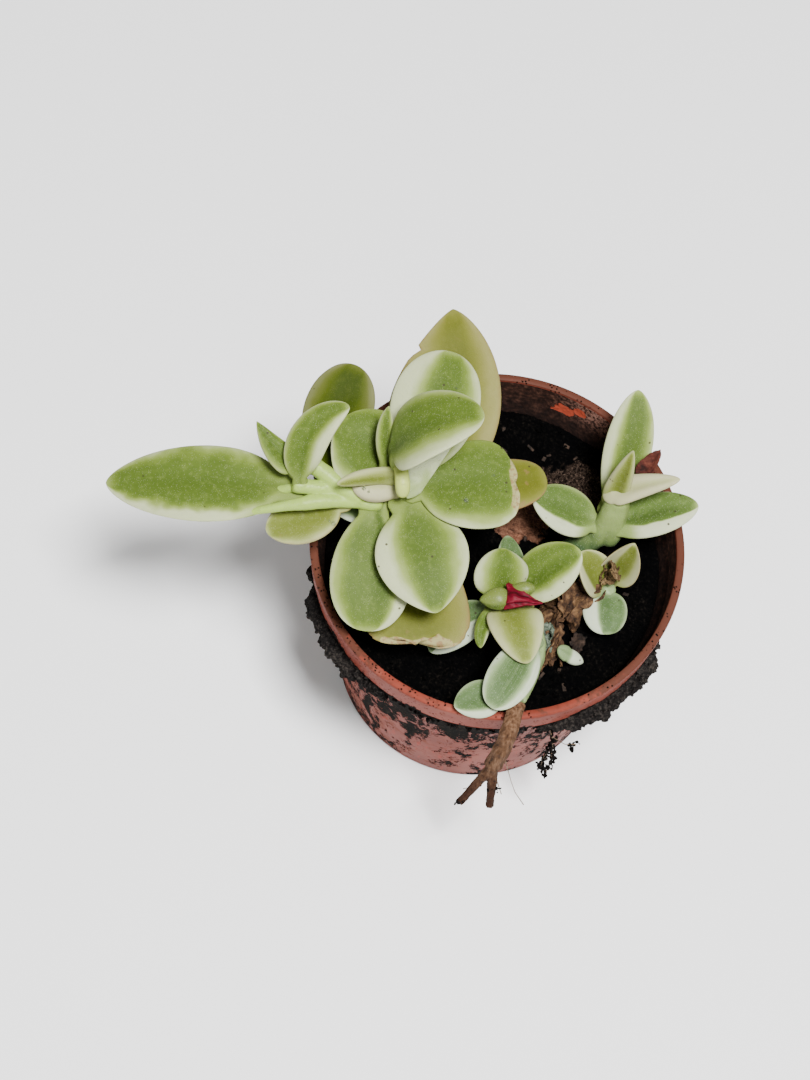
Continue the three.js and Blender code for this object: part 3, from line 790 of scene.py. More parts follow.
def leaf_finish(name, look, tints):
    """A fleshy leaf: green down the middle, cream at the margins, with papillae that have painted glints.
    """
    rib_tint, green, pale, half_way, margin = tints
    finish = fleshy(name, 0.08)
    spread = finish.add("ShaderNodeUVMap", {"uv_map": "leaf"})
    along, across, _ = finish.parts(spread)
    across = across * 2 - 1
    streaks = finish.noise(500, roughness=0.6, place=finish.scaled(spread, (2.2, 7, 1)))
    wander = finish.noise(5, detail=2)
    clouds = finish.noise(8, detail=2)

    # Cream margins, which wander, grow broader towards the foot and close round the tip
    narrow = along.rise(0, 0.3) * 0.3 + 0.7
    place = (across + (wander - 0.5) * (look["patches"] + 0.12)) / narrow
    edge = place.rise(*look["right"]).most((-place).rise(*look["left"]))
    edge = edge.most(along.rise(0.9, 1.03) * 0.8) * (along.rise(-0.05, 0.34) * 0.75 + 0.25)
    edge = (edge + (streaks - 0.5) * 0.2 + (clouds - 0.5) * 0.3).most(0).least(1)
    colour = finish.ramp(edge, (0, green), (0.3, pale), (0.62, half_way), (0.97, margin))

    # Paler foot, darker rib that is partly painted shade, mottling, faint veins and a paler underside
    foot = finish.mix(0.5, pale, half_way)
    colour = finish.mix(along.rise(0.24, -0.02) * 0.8, colour, foot)
    rib = abs(across - look["rib_at"]).rise(0.42, 0) * along.rise(1, 0.6) * (1 - edge) * look["rib"]
    colour = finish.mix(rib * (streaks * 0.5 + 0.6), colour, rib_tint)
    mottle = finish.noise(1.1, detail=4, roughness=0.65)
    colour = finish.mix(mottle.rise(0.48, 0.74) * 0.26 * (1 - edge * 0.7), colour, half_way)
    if look["veins"]:
        lines = finish.noise(625, detail=2, place=finish.scaled(spread, (0.6, 60, 1)))
        colour = finish.mix(lines.rise(0.5, 0.62) * look["veins"], colour, half_way)
    underside = finish.add("ShaderNodeAttribute", {"attribute_name": "underside"}, output="Fac")
    colour = finish.mix(underside.rise(0.1, 0.6) * 0.4, colour, half_way)

    # Papillae, half of them with a painted glint
    papillae = finish.cells(0.27)
    chosen = finish.cells(0.27, "Color").maths("GREATER_THAN", 0.5)
    papillae_and_glints = papillae.rise(0.36, 0.14) * chosen
    colour = finish.mix(papillae_and_glints * (0.36 - edge * 0.14), colour, margin)

    # Age: brown rims and blots, a torn dry end and specks of soil
    if look["brown"]:
        rim = (abs(across) + (finish.noise(1.5, detail=4) - 0.5) * 0.16).rise(0.9, 1)
        blots = finish.noise(2.6, detail=4, roughness=0.6).rise(0.62, 0.7) * 0.5
        colour = finish.mix(rim.most(blots).least(1) * look["brown"], colour, (0.2, 0.115, 0.05))
    if look["torn"] < 1:
        lines = finish.noise(0.8, detail=4, place=finish.stretched((1, 1, 0.4)))
        ripped = along + (finish.noise(2, detail=4) - 0.5) * 0.06
        end = ripped.rise(look["torn"], look["torn"] + 0.012)
        colour = finish.mix(end * 0.8, colour, (0.3, 0.26, 0.12))
        colour = finish.mix(end * lines.rise(0.5, 0.6) * 0.7, colour, (0.2, 0.11, 0.05))
    specks = finish.cells(4.2, place=finish.stretched((1, 1, 1.8))).rise(0.075, 0.05)
    colour = finish.mix(specks * 0.85, colour, (0.03, 0.02, 0.012))
    height = papillae_and_glints * 0.6 + papillae * 0.3 + mottle * 0.3
    roughness = 0.52 - papillae_and_glints * 0.2 + edge * 0.03
    return finish.wear(colour, roughness, finish.bumps(height, 0.08))


def stem_finish(name, shaded, lit, low, high):
    """A green, watery stem, shaded below a height in metres and lit above another."""
    finish = fleshy(name, 0.22)
    _, _, z = finish.parts(finish.place)
    wander = finish.noise(3) - 0.5
    colour = finish.mix((z + wander * 0.008).rise(low, high), shaded, lit)
    # Papillae, with painted glints
    papillae_and_glints = finish.cells(0.4).rise(0.3, 0.14)
    colour = finish.mix(papillae_and_glints * 0.3, colour, (0.5, 0.56, 0.33))
    height = papillae_and_glints + finish.noise(0.9) * 0.8
    return finish.wear(colour, 0.42 - papillae_and_glints * 0.12, finish.bumps(height, 0.08))


def petal_finish(settings):
    """Wilted magenta petals, with painted shade in their folds and painted highlights on their crests."""
    finish = Finish("petal", Specular_IOR_Level=0.12)
    fold = finish.add("ShaderNodeAttribute", {"attribute_name": "fold"}, output="Fac")
    creases = finish.noise(0.6, detail=4, place=finish.stretched((0.3, 1.4, 1.4)))
    # Painted shade in the folds and painted highlights on the crests of the pleats
    colour = finish.ramp(
        creases * 0.7 + fold * 0.3,
        (0.3, settings.petal_fold_shade),
        (0.45, settings.petal_dark),
        (0.62, settings.petal),
        (0.8, settings.petal_highlight),
    )
    return finish.wear(colour, 0.5, finish.bumps(creases, 0.2))


def dried_finish(name, shaded, middle, lit, size=1.6, creased=0.35):
    """Dead brown leaf, papery, with painted shade in hollows and painted highlights on folds."""
    finish = Finish(name, Specular_IOR_Level=0.2)
    folds = finish.noise(size, detail=5, roughness=0.65, distortion=0.6)
    colour = finish.ramp(folds, (0.32, shaded), (0.5, middle), (0.7, lit))
    veins = finish.cells(2, feature="DISTANCE_TO_EDGE").rise(0.09, 0.02)
    colour = finish.mix(veins * creased, colour, lit)
    return finish.wear(colour, 0.82, finish.bumps(folds + veins * creased, 0.35))


def wood_finish(settings):
    """Brown bark with lengthwise grain, darker towards the broken ends."""
    finish = Finish("wood", Specular_IOR_Level=0.06)
    _, _, z = finish.parts(finish.place)
    lengthwise = finish.stretched((1, 1, 0.16), turn=(0.2, 0, 0))
    grain = finish.noise(0.7, detail=5, roughness=0.6, place=lengthwise)
    colour = finish.ramp(
        grain, (0.3, settings.bark_dark), (0.5, settings.bark), (0.7, settings.bark_light)
    )
    towards_end = (z + (grain - 0.5) * 0.006).rise(0.058, 0.043)
    colour = finish.mix(towards_end * 0.85, colour, settings.bark_end)
    dirt = finish.noise(1.4, detail=4, roughness=0.7).rise(0.6, 0.68)
    colour = finish.mix(dirt * 0.8, colour, (0.016, 0.01, 0.007))
    return finish.wear(colour, 0.85, finish.bumps(grain + dirt * 0.5, 0.4))


def water_finish(settings):
    """Clear water."""
    finish = Finish("droplet", Roughness=0.03, IOR=1.33, Transmission_Weight=0.95)
    return finish.wear(settings.water)


# Pot


def make_pot(settings):
    """A thin-walled pot, extruded from a circle along its profile."""
    lip_inner = RIM_RADIUS - LIP_WIDTH
    inner_floor = wall_radius(FLOOR_TOP) - WALL
    floor_ring = 12
    step_round = 0.25
    collar_round = 0.35
    lip_round = 0.45
    lip_bevel = 0.12
    lip_drop = 0.2
    profile = [
        # Boss, hollow underside and foot ring
        (BOSS_RADIUS, 0),
        (BOSS_RADIUS + CORNER, FOOT_HEIGHT),
        (BASE_RADIUS - FOOT_WIDTH - CORNER, FOOT_HEIGHT),
        (BASE_RADIUS - FOOT_WIDTH, 0),
        (BASE_RADIUS - CORNER, 0),
        (BASE_RADIUS - CORNER * 0.3, CORNER * 0.3),
        # Outer wall, the step below the collar, and the collar
        (BASE_RADIUS, CORNER),
        (wall_radius(20), 20),
        (wall_radius(40), 40),
        (BODY_TOP_RADIUS, STEP_HEIGHT - CORNER),
        (BODY_TOP_RADIUS + step_round, STEP_HEIGHT - step_round),
        (RIM_RADIUS - COLLAR_TAPER - collar_round, STEP_HEIGHT),
        (RIM_RADIUS - COLLAR_TAPER, STEP_HEIGHT + collar_round),
        (RIM_RADIUS - 0.1, POT_HEIGHT - 1.4),
        # Lip
        (RIM_RADIUS, POT_HEIGHT - CORNER),
        (RIM_RADIUS - lip_bevel, POT_HEIGHT - lip_drop),
        (RIM_RADIUS - lip_round, POT_HEIGHT),
        (lip_inner + lip_round, POT_HEIGHT),
        (lip_inner + lip_bevel, POT_HEIGHT - lip_drop),
        (lip_inner, POT_HEIGHT - CORNER),
        # Inner wall and floor
        (lip_inner - CORNER / 2, STEP_HEIGHT + CORNER),
        (BODY_TOP_RADIUS - WALL, STEP_HEIGHT - 2 * CORNER),
        (wall_radius(30) - WALL, 30),
        (inner_floor, FLOOR_TOP + CORNER),
        (inner_floor - CORNER, FLOOR_TOP),
        (floor_ring, FLOOR_TOP),
    ]
    radius, height = profile[0]
    pot = add_primitive(
        "circle", "nursery_pot", vertices=settings.sides, radius=radius * MM, location=(0, 0, height * MM)
    )
    bpy.ops.object.mode_set(mode="EDIT")
    for wider, higher in profile[1:]:
        step = (0, 0, (higher - height) * MM)
        bpy.ops.mesh.extrude_edges_move(TRANSFORM_OT_translate={"value": step})
        share = wider / radius
        bpy.ops.transform.resize(value=(share, share, 1), center_override=(0, 0, higher * MM))
        radius, height = wider, higher
    bpy.ops.mesh.select_all(action="SELECT")
    bpy.ops.mesh.fill_holes(sides=0)
    bpy.ops.object.mode_set(mode="OBJECT")
    faced_outwards(pot)
    drain_holes(pot)
    settle(pot, "terracotta_plastic", pot_finish(settings), "pot")
    coat_inside(pot, pot_inside_finish(settings))
    only(pot)
    bpy.ops.object.shade_smooth_by_angle(angle=math.radians(35))


def drain_holes(pot):
    """Cuts the ring of drain holes through the pot's floor."""
    drain = add_primitive("cylinder", "drain", vertices=24, radius=DRAIN_RADIUS * MM, depth=12 * MM)
    turns = (Matrix.Rotation(math.tau * i / DRAIN_HOLES, 4, "Z") for i in range(DRAIN_HOLES))
    out = Matrix.Translation((DRAIN_CIRCLE * MM, 0, 0))
    drains = scattered(drain, "drains", [turn @ out for turn in turns])
    shaped(pot, "BOOLEAN", operation="DIFFERENCE", object=drains, solver="EXACT")
    bpy.data.objects.remove(drains)


def coat_inside(pot, coat):
    """Gives the inner wall and the floor, up to just below the lip, a finish of their own."""
    pot.data.materials.append(coat)
    bottom = FLOOR_TOP * 0.9 * MM
    top = (POT_HEIGHT - 0.4) * MM
    for face in pot.data.polygons:
        centre = face.center
        inward = face.normal.x * centre.x + face.normal.y * centre.y < 0
        on_floor = centre.z < 10 * MM
        if (inward or on_floor) and bottom < centre.z < top:
            face.material_index = 1


# Soil


def unevenness(x, y):
    """Broad, shallow hills and hollows."""
    return (
        0.9 * math.sin(0.23 * x + 1.3) * math.cos(0.19 * y - 0.4)
        + 0.6 * math.sin(0.61 * x - 0.37 * y)
        + 0.4 * math.cos(0.43 * x + 0.71 * y)
    )


def lumps_at(x, y):
    """Lumps of three sizes."""
    place = Vector((x, y, 0))
    broad = 0.55 * noise.noise(place * 0.28)
    middle = 0.75 * abs(noise.noise(place * 0.7 + Vector((7, 3, 1))))
    small = 0.55 * abs(noise.noise(place * 1.9 + Vector((2, 9, 4))))
    return broad + middle + small - 0.3


def soil_top(x, y):
    """How high the soil stands at a place, in millimetres. It is more even near the wall."""
    share = math.hypot(x, y) / SOIL_EDGE
    return SOIL_LEVEL + (1.2 + unevenness(x, y)) * (0.4 + 0.6 * (1 - share**6)) + lumps_at(x, y)


def on_disc(x, y):
    """Draws a place on a square from -1 to 1 in onto a disc of radius 1."""
    return x * math.sqrt(1 - y * y / 2), y * math.sqrt(1 - x * x / 2)


def make_soil(settings):
    """The body of soil, a fine grid drawn into a disc and pulled down to the pot's floor."""
    clearance = 0.4
    soil = add_primitive(
        "grid", "soil_body", x_subdivisions=settings.grid, y_subdivisions=settings.grid, size=2
    )
    for vertex in soil.data.vertices:
        across, away = on_disc(vertex.co.x, vertex.co.y)
        x, y = SOIL_EDGE * across, SOIL_EDGE * away
        vertex.co = Vector((x, y, soil_top(x, y))) * MM
    bpy.ops.object.mode_set(mode="EDIT")
    bpy.ops.mesh.select_mode(type="EDGE")
    bpy.ops.mesh.select_all(action="DESELECT")
    bpy.ops.mesh.select_non_manifold()
    down = (0, 0, -(SOIL_LEVEL - FLOOR_TOP - 2) * MM)
    bpy.ops.mesh.extrude_edges_move(TRANSFORM_OT_translate={"value": down})
    share = (BASE_RADIUS - WALL - clearance) / SOIL_EDGE
    foot = (0, 0, (FLOOR_TOP + clearance) * MM)
    bpy.ops.transform.resize(value=(share, share, 0), center_override=foot)
    bpy.ops.mesh.edge_face_add()
    bpy.ops.object.mode_set(mode="OBJECT")
    faced_outwards(soil)
    peat = peat_finish()
    settle(soil, "peat", peat, "soil")
    source = random.Random(5)
    make_crumbs(settings, peat, source)
    make_clod(settings)
    make_chips(settings, source)


def make_crumbs(settings, peat, source):
    """Loose crumbs on the soil, in drifts, which stay clear of the pot's inner wall."""
    inner_wall = 36.6
    places = []
    while len(places) < settings.crumbs:
        radius = 36 * math.sqrt(source.random())
        x, y = about_axis(radius, source.uniform(0, math.tau))
        if noise.noise(Vector((x, y, 5)) * 0.13) + source.uniform(-0.5, 0.5) < -0.05:
            continue
        size = (settings.least_crumb + settings.crumb_range * source.random() ** 3) / MM
        z = soil_top(x, y) + 0.15 * size
        reach = min(1, (inner_wall - size / 2) / max(radius, 1))
        sizes = (size, size * source.uniform(0.6, 1), size * source.uniform(0.5, 0.9))
        places.append(crumb_place((x * reach, y * reach, z), sizes, source))
    crumbs = scattered(crumb("crumb", 11), "soil_crumbs", places)
    settle(crumbs, "peat", peat, smooth=False)


def make_clod(settings):
    """A dry red-brown clod in the middle of the soil."""
    middle = (4.6, 9.4, 56)
    radii = (5.8, 4.3, 1.7)
    clod = add_primitive("ico_sphere", "dry_clod", subdivisions=5, radius=1)
    for vertex in clod.data.vertices:
        way = vertex.co.copy()
        swell = 1
        for strength, closeness in ((0.3, 1.6), (0.14, 4.5), (0.05, 11)):
            swell += strength * noise.noise(way * closeness)
        vertex.co = Vector([middle[i] + radii[i] * way[i] * swell for i in range(3)]) * MM
    settle(clod, "peat", clod_finish(settings))


def make_chips(settings, source):
    """Flakes of bark and fibre that lie on the soil, mostly towards the back right."""
    thickness = 0.25
    chip = add_primitive("cube", "chip", size=MM)
    places = []
    for _ in range(settings.chips):
        turn = source.gauss(1.0, 1.1)
        x, y = about_axis(source.uniform(8, 33), turn)
        heading = Matrix.Rotation(source.uniform(0, math.tau), 4, "Z")
        tilt = Matrix.Rotation(source.uniform(-0.6, 0.6), 4, "Y")
        size = Matrix.Diagonal((source.uniform(0.6, 2), source.uniform(0.3, 0.9), thickness, 1))
        spot = Matrix.Translation(Vector((x, y, soil_top(x, y) + thickness)) * MM)
        places.append(spot @ (heading @ tilt) @ size)
    chips = scattered(chip, "bark_chips", places)
    shaped(chips, "BEVEL", width=0.05 * MM, segments=1)
    bark = dried_finish("bark_chips", (0.006, 0.004, 0.003), (0.016, 0.01, 0.007), (0.05, 0.03, 0.02))
    settle(chips, "peat", bark, smooth=False)


def make_crust(settings):
    """Soil that has spilled over the rim and dried on the wall below the collar."""
    peat = peat_finish("crust_peat", patches=False, dryness=13)
    source = random.Random(9)
    for side, span in CRUST_SPANS.items():
        node = f"soil_crust_{side}"
        crust = refined_copy(node, f"crust_{side}", 0.4, 1)
        for size, depth in ((3.4, 3.4), (1.2, 2), (0.5, 0.8)):
            roughened(crust, size, depth)
        settle(crust, "peat", peat, node, smooth=False)
        places = [crust_crumb_place(source, *span) for _ in range(settings.crust_crumbs)]
        crumbs = scattered(crumb("crust_crumb", 4), f"crust_crumbs_{side}", places)
        settle(crumbs, "peat", peat, smooth=False)
    places = [wall_crumb_place(source) for _ in range(settings.crust_crumbs)]
    crumbs = scattered(crumb("wall_crumb", 6), "wall_crumbs", places)
    settle(crumbs, "peat", peat, smooth=False)


def crust_crumb_place(source, start, end):
    """A place in a crust, which is thickest half-way along its span and towards its top."""
    degrees = source.uniform(start, end)
    z = source.uniform(47, 57.5)
    swell = math.sin(math.pi * (degrees - start) / (end - start)) ** 0.6
    out = wall_radius(z) + source.uniform(0.2, 0.9 + 3.2 * swell * (z - 45) / 12)
    size = 0.5 + 1.3 * source.random() ** 2
    sizes = (size, size * source.uniform(0.6, 1), size * source.uniform(0.5, 1))
    return crumb_place((*about_axis(out, math.radians(degrees)), z), sizes, source)


def wall_crumb_place(source):
    """A place on the wall between the crusts, mostly close under the collar."""
    turn = math.radians(source.uniform(*SPAN_BETWEEN_CRUSTS))
    z = 57.3 - 9 * source.random() ** 2.5
    size = 0.4 + 1.1 * source.random() ** 2
    out = wall_radius(z) + 0.2 * size
    return crumb_place((*about_axis(out, turn), z), (size * 1.4, size, size * 0.7), source)


# Leaves


def leaf_surface(form):
    """A function from a place on a leaf to a point in millimetres. It takes the share of the way
    from neck to tip, the share of the half width towards the right-hand margin, and how far the
    point lies above the middle of the blade's thickness, from -1 to 1."""
    length = form["length"]
    steps = 90

    def direction(along):
        heading = math.radians(form["sway"] * along)
        lift = math.radians(form["rise"] - form["bend"] * along ** form["early"])
        return Vector(
            (math.cos(heading) * math.cos(lift), math.sin(heading) * math.cos(lift), math.sin(lift))
        )

    spine = [Vector((0, 0, 0))]
    for i in range(steps):
        spine.append(spine[-1] + direction((i + 0.5) / steps) * length / steps)

    def centre(along):
        if along <= 0:
            return direction(0) * along * length
        step = min(int(along * steps), steps - 1)
        return spine[step].lerp(spine[step + 1], along * steps - step)

    def rounded_foot(along):
        if along >= 0:
            return 1
        return math.sqrt(max(0, 1 - (along * length / ROOT) ** 2))

    def half_width(along, inside, across):
        widest = form["widest"]
        blade = max(0, (inside - form["neck_length"]) / (1 - form["neck_length"]))
        share = (blade / widest) ** widest * ((1 - blade) / (1 - widest)) ** (1 - widest)
        stalk = 0.68 * form["neck"] * (1 - inside) ** 1.5
        half = math.hypot(stalk, form["width"] / 2 * share ** form["fullness"])
        half *= rounded_foot(along) * (1 + max(0, form["lean"] * across))
        if form["notch"]:
            at, side, depth = form["notch"]
            half *= 1 - depth * math.exp(-(((inside - at) / 0.02) ** 2)) * max(0, across * side)
        if inside > form["torn"] - 0.12:
            half *= 1 - 0.06 * abs(noise.noise(Vector((across * 6, inside * 30, length))))
        return half

    def height(along, inside, across, above, half):
        groove = form["crease"] * (1 - across**2) ** 6 * math.sin(math.pi * inside**0.6)
        groove *= min(1, half / (0.32 * form["width"]))
        thickness = form["thickness"] * (0.8 + 0.2 * math.sin(math.pi * inside))
        thickness *= (1 - 0.45 * inside**4) * math.sqrt(max(0, 1 - inside**14))
        skin = math.copysign(abs(above) ** 0.85, above) * thickness * rounded_foot(along) / 2
        return form["cup"] * half * across**2 - groove + skin

    def point(along, across, above):
        inside = min(max(along, 0), 1)
        half = half_width(along, inside, across)
        lifted = height(along, inside, across, above, half)
        heading = math.radians(form["sway"] * inside)
        level = Vector((math.sin(heading), -math.cos(heading), 0))
        upright = level.cross(direction(inside))
        roll = math.radians(form["roll"])
        side = level * math.cos(roll) + upright * math.sin(roll)
        up = upright * math.cos(roll) - level * math.sin(roll)
        if form["ragged"] and inside > 0.75:
            broad = noise.noise(Vector((across * 2.3, 0, length)))
            small = noise.noise(Vector((across * 8, 3, length)))
            bite = 0.5 + broad + 0.6 * small
            along -= form["ragged"] / length * bite * (inside - 0.75) / 0.25
        return centre(along) + side * half * across + up * lifted

    return point


def make_leaf(node, entry, settings, tints):
    """One leaf, a ball of rings drawn out from its neck to its tip and set where its solid is."""
    form = {**LEAF_FORM, **LEAF_LOOK, **entry}
    surface = leaf_surface(form)
    whole = leaf_surface({**form, "lean": 0, "ragged": 0, "notch": None})
    turn = Matrix.Rotation(math.radians(form["azimuth"]), 3, "Z")
    root = ROOT / form["length"]
    leaf = add_primitive(
        "uv_sphere", node.replace("leaf", "blade"), segments=settings.segments,
        ring_count=settings.rings, radius=1,
    )
    mesh = leaf.data
    spots = []
    for vertex in mesh.vertices:
        share, across, above = ball_place(vertex)
        spots.append((share * (1 + root) - root, across, above))
        vertex.co = turn @ surface(*spots[-1])
    least, most = extent([turn @ whole(*spot) for spot in spots if spot[0] >= 0])
    low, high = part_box(node)
    shift = (low + high) / (2 * MM) - (least + most) / 2 + Vector(form["nudge"])
    for vertex in mesh.vertices:
        place = vertex.co + shift
        uneven = 0.16 * noise.noise(place * 0.22)
        vertex.co = (place + Vector((0, 0, uneven))) * MM
    spread_leaf(mesh, spots)
    settle(leaf, SLOTS[node], leaf_finish(node, form, tints[form["tint"]]), node)


def spread_leaf(mesh, spots):
    """Lays a leaf out flat, along and across, and marks its underside."""
    while mesh.uv_layers:
        mesh.uv_layers.remove(mesh.uv_layers[0])
    spread = mesh.uv_layers.new(name="leaf")
    underside = mesh.attributes.new("underside", "FLOAT", "POINT")
    for loop in mesh.loops:
        along, across, _ = spots[loop.vertex_index]
        spread.data[loop.index].uv = (max(along, 0), (across + 1) / 2)
    for i, (_, _, above) in enumerate(spots):
        underside.data[i].value = max(0, -above)


def make_leaves(settings):
    """Every living leaf."""
    usual = (settings.rib, settings.green, settings.pale_green, settings.half_way, settings.margin)
    tints = {**TINTS, "green": usual}
    for node, entry in LEAVES.items():
        make_leaf(node, entry, settings, tints)


# Stems and the flower


def make_stems(settings):
    """The green stems, rounded from their solids, with the strands that they fork into."""
    to_left_leaf = [
        (-29, -3.2, 82), (-33.5, -2.2, 84), (-37, -0.2, 85.2), (-40.5, 1.4, 85.9), (-43, 2.4, 86),
    ]
    under_far_leaf = [
        (-25, -2.8, 81), (-30, -3.6, 82), (-35.5, -4.7, 83.2), (-39.5, -5.9, 83.5),
        (-44, -7.2, 83.2), (-49.5, -8.8, 82.3), (-54.5, -10.2, 80.4),
    ]
    into_far_leaf = [(-39, -2.8, 84), (-42.5, -3.2, 83.9), (-45.5, -3.6, 82.5), (-48, -3.8, 80.6)]
    to_tall_leaf = [
        (23.4, 4.2, 62.5), (23.6, 6.4, 66), (23.8, 8.2, 69), (23.7, 9.6, 71.6), (23.3, 10.6, 74),
    ]
    # The points of each strand, its thickness, and the share of that with which it ends
    strands = {
        "main": ((to_left_leaf, 3.8, 0.8), (under_far_leaf, 3.6, 0.3), (into_far_leaf, 3, 0.4)),
        "right": ((to_tall_leaf, 4.4, 1.2),),
    }
    # The heights between which a stem's colour changes, and how much fuller it is than its solid
    for name, low, high, swell in (
        ("main", 60, 80, 0.3),
        ("right", 60, 72, 0.6),
        ("bud", 55, 62, 0.4),
        ("front", 62, 70, 0.3),
    ):
        node = f"{name}_stem"
        grown = [strand("fork", *points) for points in strands.get(name, ())]
        stem = refined_copy(node, f"{node}_flesh", 0.28, 16 if grown else 6, grown)
        roughened(stem, 3, 0.35)
        shaped(stem, "DISPLACE", strength=swell * MM, mid_level=0)
        shaded = getattr(settings, f"{name}_shaded")
        lit = getattr(settings, f"{name}_lit")
        settle(stem, "stem", stem_finish(node, shaded, lit, low * MM, high * MM), node)
    make_leaf_stalks(settings)


def make_leaf_stalks(settings):
    """A short stub and a flat strap, between the main stem and the arching leaf."""
    bend = [
        (-23.2, 3.4, 89.6), (-22.6, 1.6, 90.6), (-22, -0.4, 90.6), (-21.5, -2.6, 89.8), (-21.2, -4, 87.6),
    ]
    stub = shaped(strand("stalk_stub", bend, 4.3, 0.66), "SUBSURF", levels=1, render_levels=1)
    green = stem_finish("leaf_stalk", settings.stub_shaded, settings.stub_lit, 80 * MM, 90 * MM)
    settle(stub, "stem", green)

    def widening(share):
        return (0.22 + 0.78 * share) * (1 - share**12) ** 0.5 * min(1, (share / 0.03) ** 0.5)

    strap = drawn_out(
        "stalk_arching", (-19.2, -2.6, 86), (-16.4, 7.2, 94.2), 6.3, 0.9, widening, side=(0.86, 0.5, 0.12)
    )
    white = stem_finish("stalk_arching", settings.strap_shaded, settings.strap_lit, 86 * MM, 92 * MM)
    settle(strap, "stem", white)


def drawn_out(name, start, end, width, height, outline, pleats=0, depth=0, side=None):
    """A ball drawn out along a line in millimetres. The outline gives its girth, from 0 to 1, at a
    share of the way from start to end, and pleats run along it."""
    start, end = Vector(start), Vector(end)
    axis = (end - start).normalized()
    side = Vector(side or Vector((0, 0, 1)).cross(axis)).normalized()
    up = axis.cross(side)
    piece = add_primitive("uv_sphere", name, segments=64, ring_count=40, radius=1)
    fold = piece.data.attributes.new("fold", "FLOAT", "POINT")
    for i, vertex in enumerate(piece.data.vertices):
        share, across, above = ball_place(vertex)
        turn = math.atan2(vertex.co.y, vertex.co.x)
        crest = 0.5 + 0.5 * math.cos(pleats * turn + 2.5 * share + 1.2 * math.sin(2 * turn))
        girth = outline(share) * (1 - depth * (1 - crest))
        fold.data[i].value = crest if pleats else 1
        spot = start.lerp(end, share) + side * width * across * girth + up * height * above * girth
        vertex.co = spot * MM
    return faced_outwards(piece)


def make_flower(settings):
    """The plump calyx with a sepal, on the front stem, and the closed, wilted petals."""

    def egg(share):
        return (math.sin(math.pi * share**1.15) ** 0.55) * (0.72 + 0.28 * share)

    def wedge(share):
        return min(1, (share / 0.05) ** 0.5) * (1 - share) ** 0.8 * (1 + 0.12 * math.sin(7 * share))

    green = stem_finish("calyx", settings.calyx_shaded, settings.calyx_lit, 72.5 * MM, 77 * MM)
    calyx = drawn_out("calyx", (-2.6, -18, 75), (3.7, -16.4, 75), 2.75, 2.6, egg, pleats=5, depth=0.07)
    settle(calyx, "stem", green, "flower_calyx")
    foot = strand("calyx_foot", [(1, -16.2, 69.5), (0.6, -17, 71.8), (0.4, -17.3, 74)], 3, taper=1.1)
    settle(foot, "stem", green)
    sepal = drawn_out("sepal", (2.6, -15, 75), (8.4, -14, 76.2), 1.7, 1.5, egg)
    settle(sepal, "stem", green)
    neck = (2.4, -16.3, 75.2)
    petals = drawn_out("petals", neck, (10.2, -17.1, 76.3), 3.1, 1.9, wedge, pleats=6, depth=0.34)
    for vertex in petals.data.vertices:
        vertex.co.x -= 0.13 * (vertex.co.y - neck[1] * MM) + 0.6 * MM * noise.noise(vertex.co * 500)
        vertex.co.y += 0.3 * MM * noise.noise(vertex.co * 400)
        vertex.co.z += MM * noise.noise(vertex.co * 450)
    settle(petals, "petal", petal_finish(settings), "flower_petals")


# Dead parts


def crumpled_sheet(name, seed, box, reach):
    """One torn sheet, creased along straight folds, that fills a share of a box."""
    source = random.Random(seed)
    sheet = add_primitive("grid", name, x_subdivisions=64, y_subdivisions=64, size=2)
    creases = []
    for axis, strength, count in ((2, 0.9, 5), (0, 0.45, 4), (1, 0.45, 4)):
        for _ in range(count):
            turn = source.uniform(0, math.tau)
            at = source.uniform(-0.8, 0.8)
            depth = source.uniform(-1, 1) * strength
            creases.append((axis, math.cos(turn), math.sin(turn), at, depth))
    lean = turned_about(source).to_3x3()
    drawn = []
    for vertex in sheet.data.vertices:
        across, away = on_disc(vertex.co.x, vertex.co.y)
        spot = Vector((across, away, seed * 4.3))
        tear = 0.5 * noise.noise(spot * 2.1) + 0.25 * noise.noise(spot * 7)
        torn = 1 + tear * (across**2 + away**2)
        place = Vector((across * torn, away * torn * 0.8, 0))
        for axis, right, up, at, depth in creases:
            place[axis] += depth * abs(across * right + away * up - at)
        for axis in range(3):
            place[axis] += 0.06 * noise.noise(spot * 4 + Vector((0, 0, 9 * axis)))
        drawn.append(lean @ place)
    least, most = extent(drawn)
    low, high = box
    middle, size = (low + high) / 2, high - low
    share = source.uniform(0.6, 0.85) * reach
    shift = Vector([(reach - share) * source.uniform(-1, 1) for _ in range(3)])
    for vertex, place in zip(sheet.data.vertices, drawn):
        spot = [2 * (place[i] - least[i]) / (most[i] - least[i]) - 1 for i in range(3)]
        vertex.co = middle + Vector([(spot[i] * share + shift[i]) * size[i] * 0.5 for i in range(3)])
    return shaped(sheet, "SOLIDIFY", thickness=0.25 * MM, offset=0)


def crumpled(name, node, seeds, reach):
    """A dead leaf of several sheets, drawn to the size of its solid times its reach."""
    return joined([crumpled_sheet(name, seed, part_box(node), reach) for seed in seeds], name)


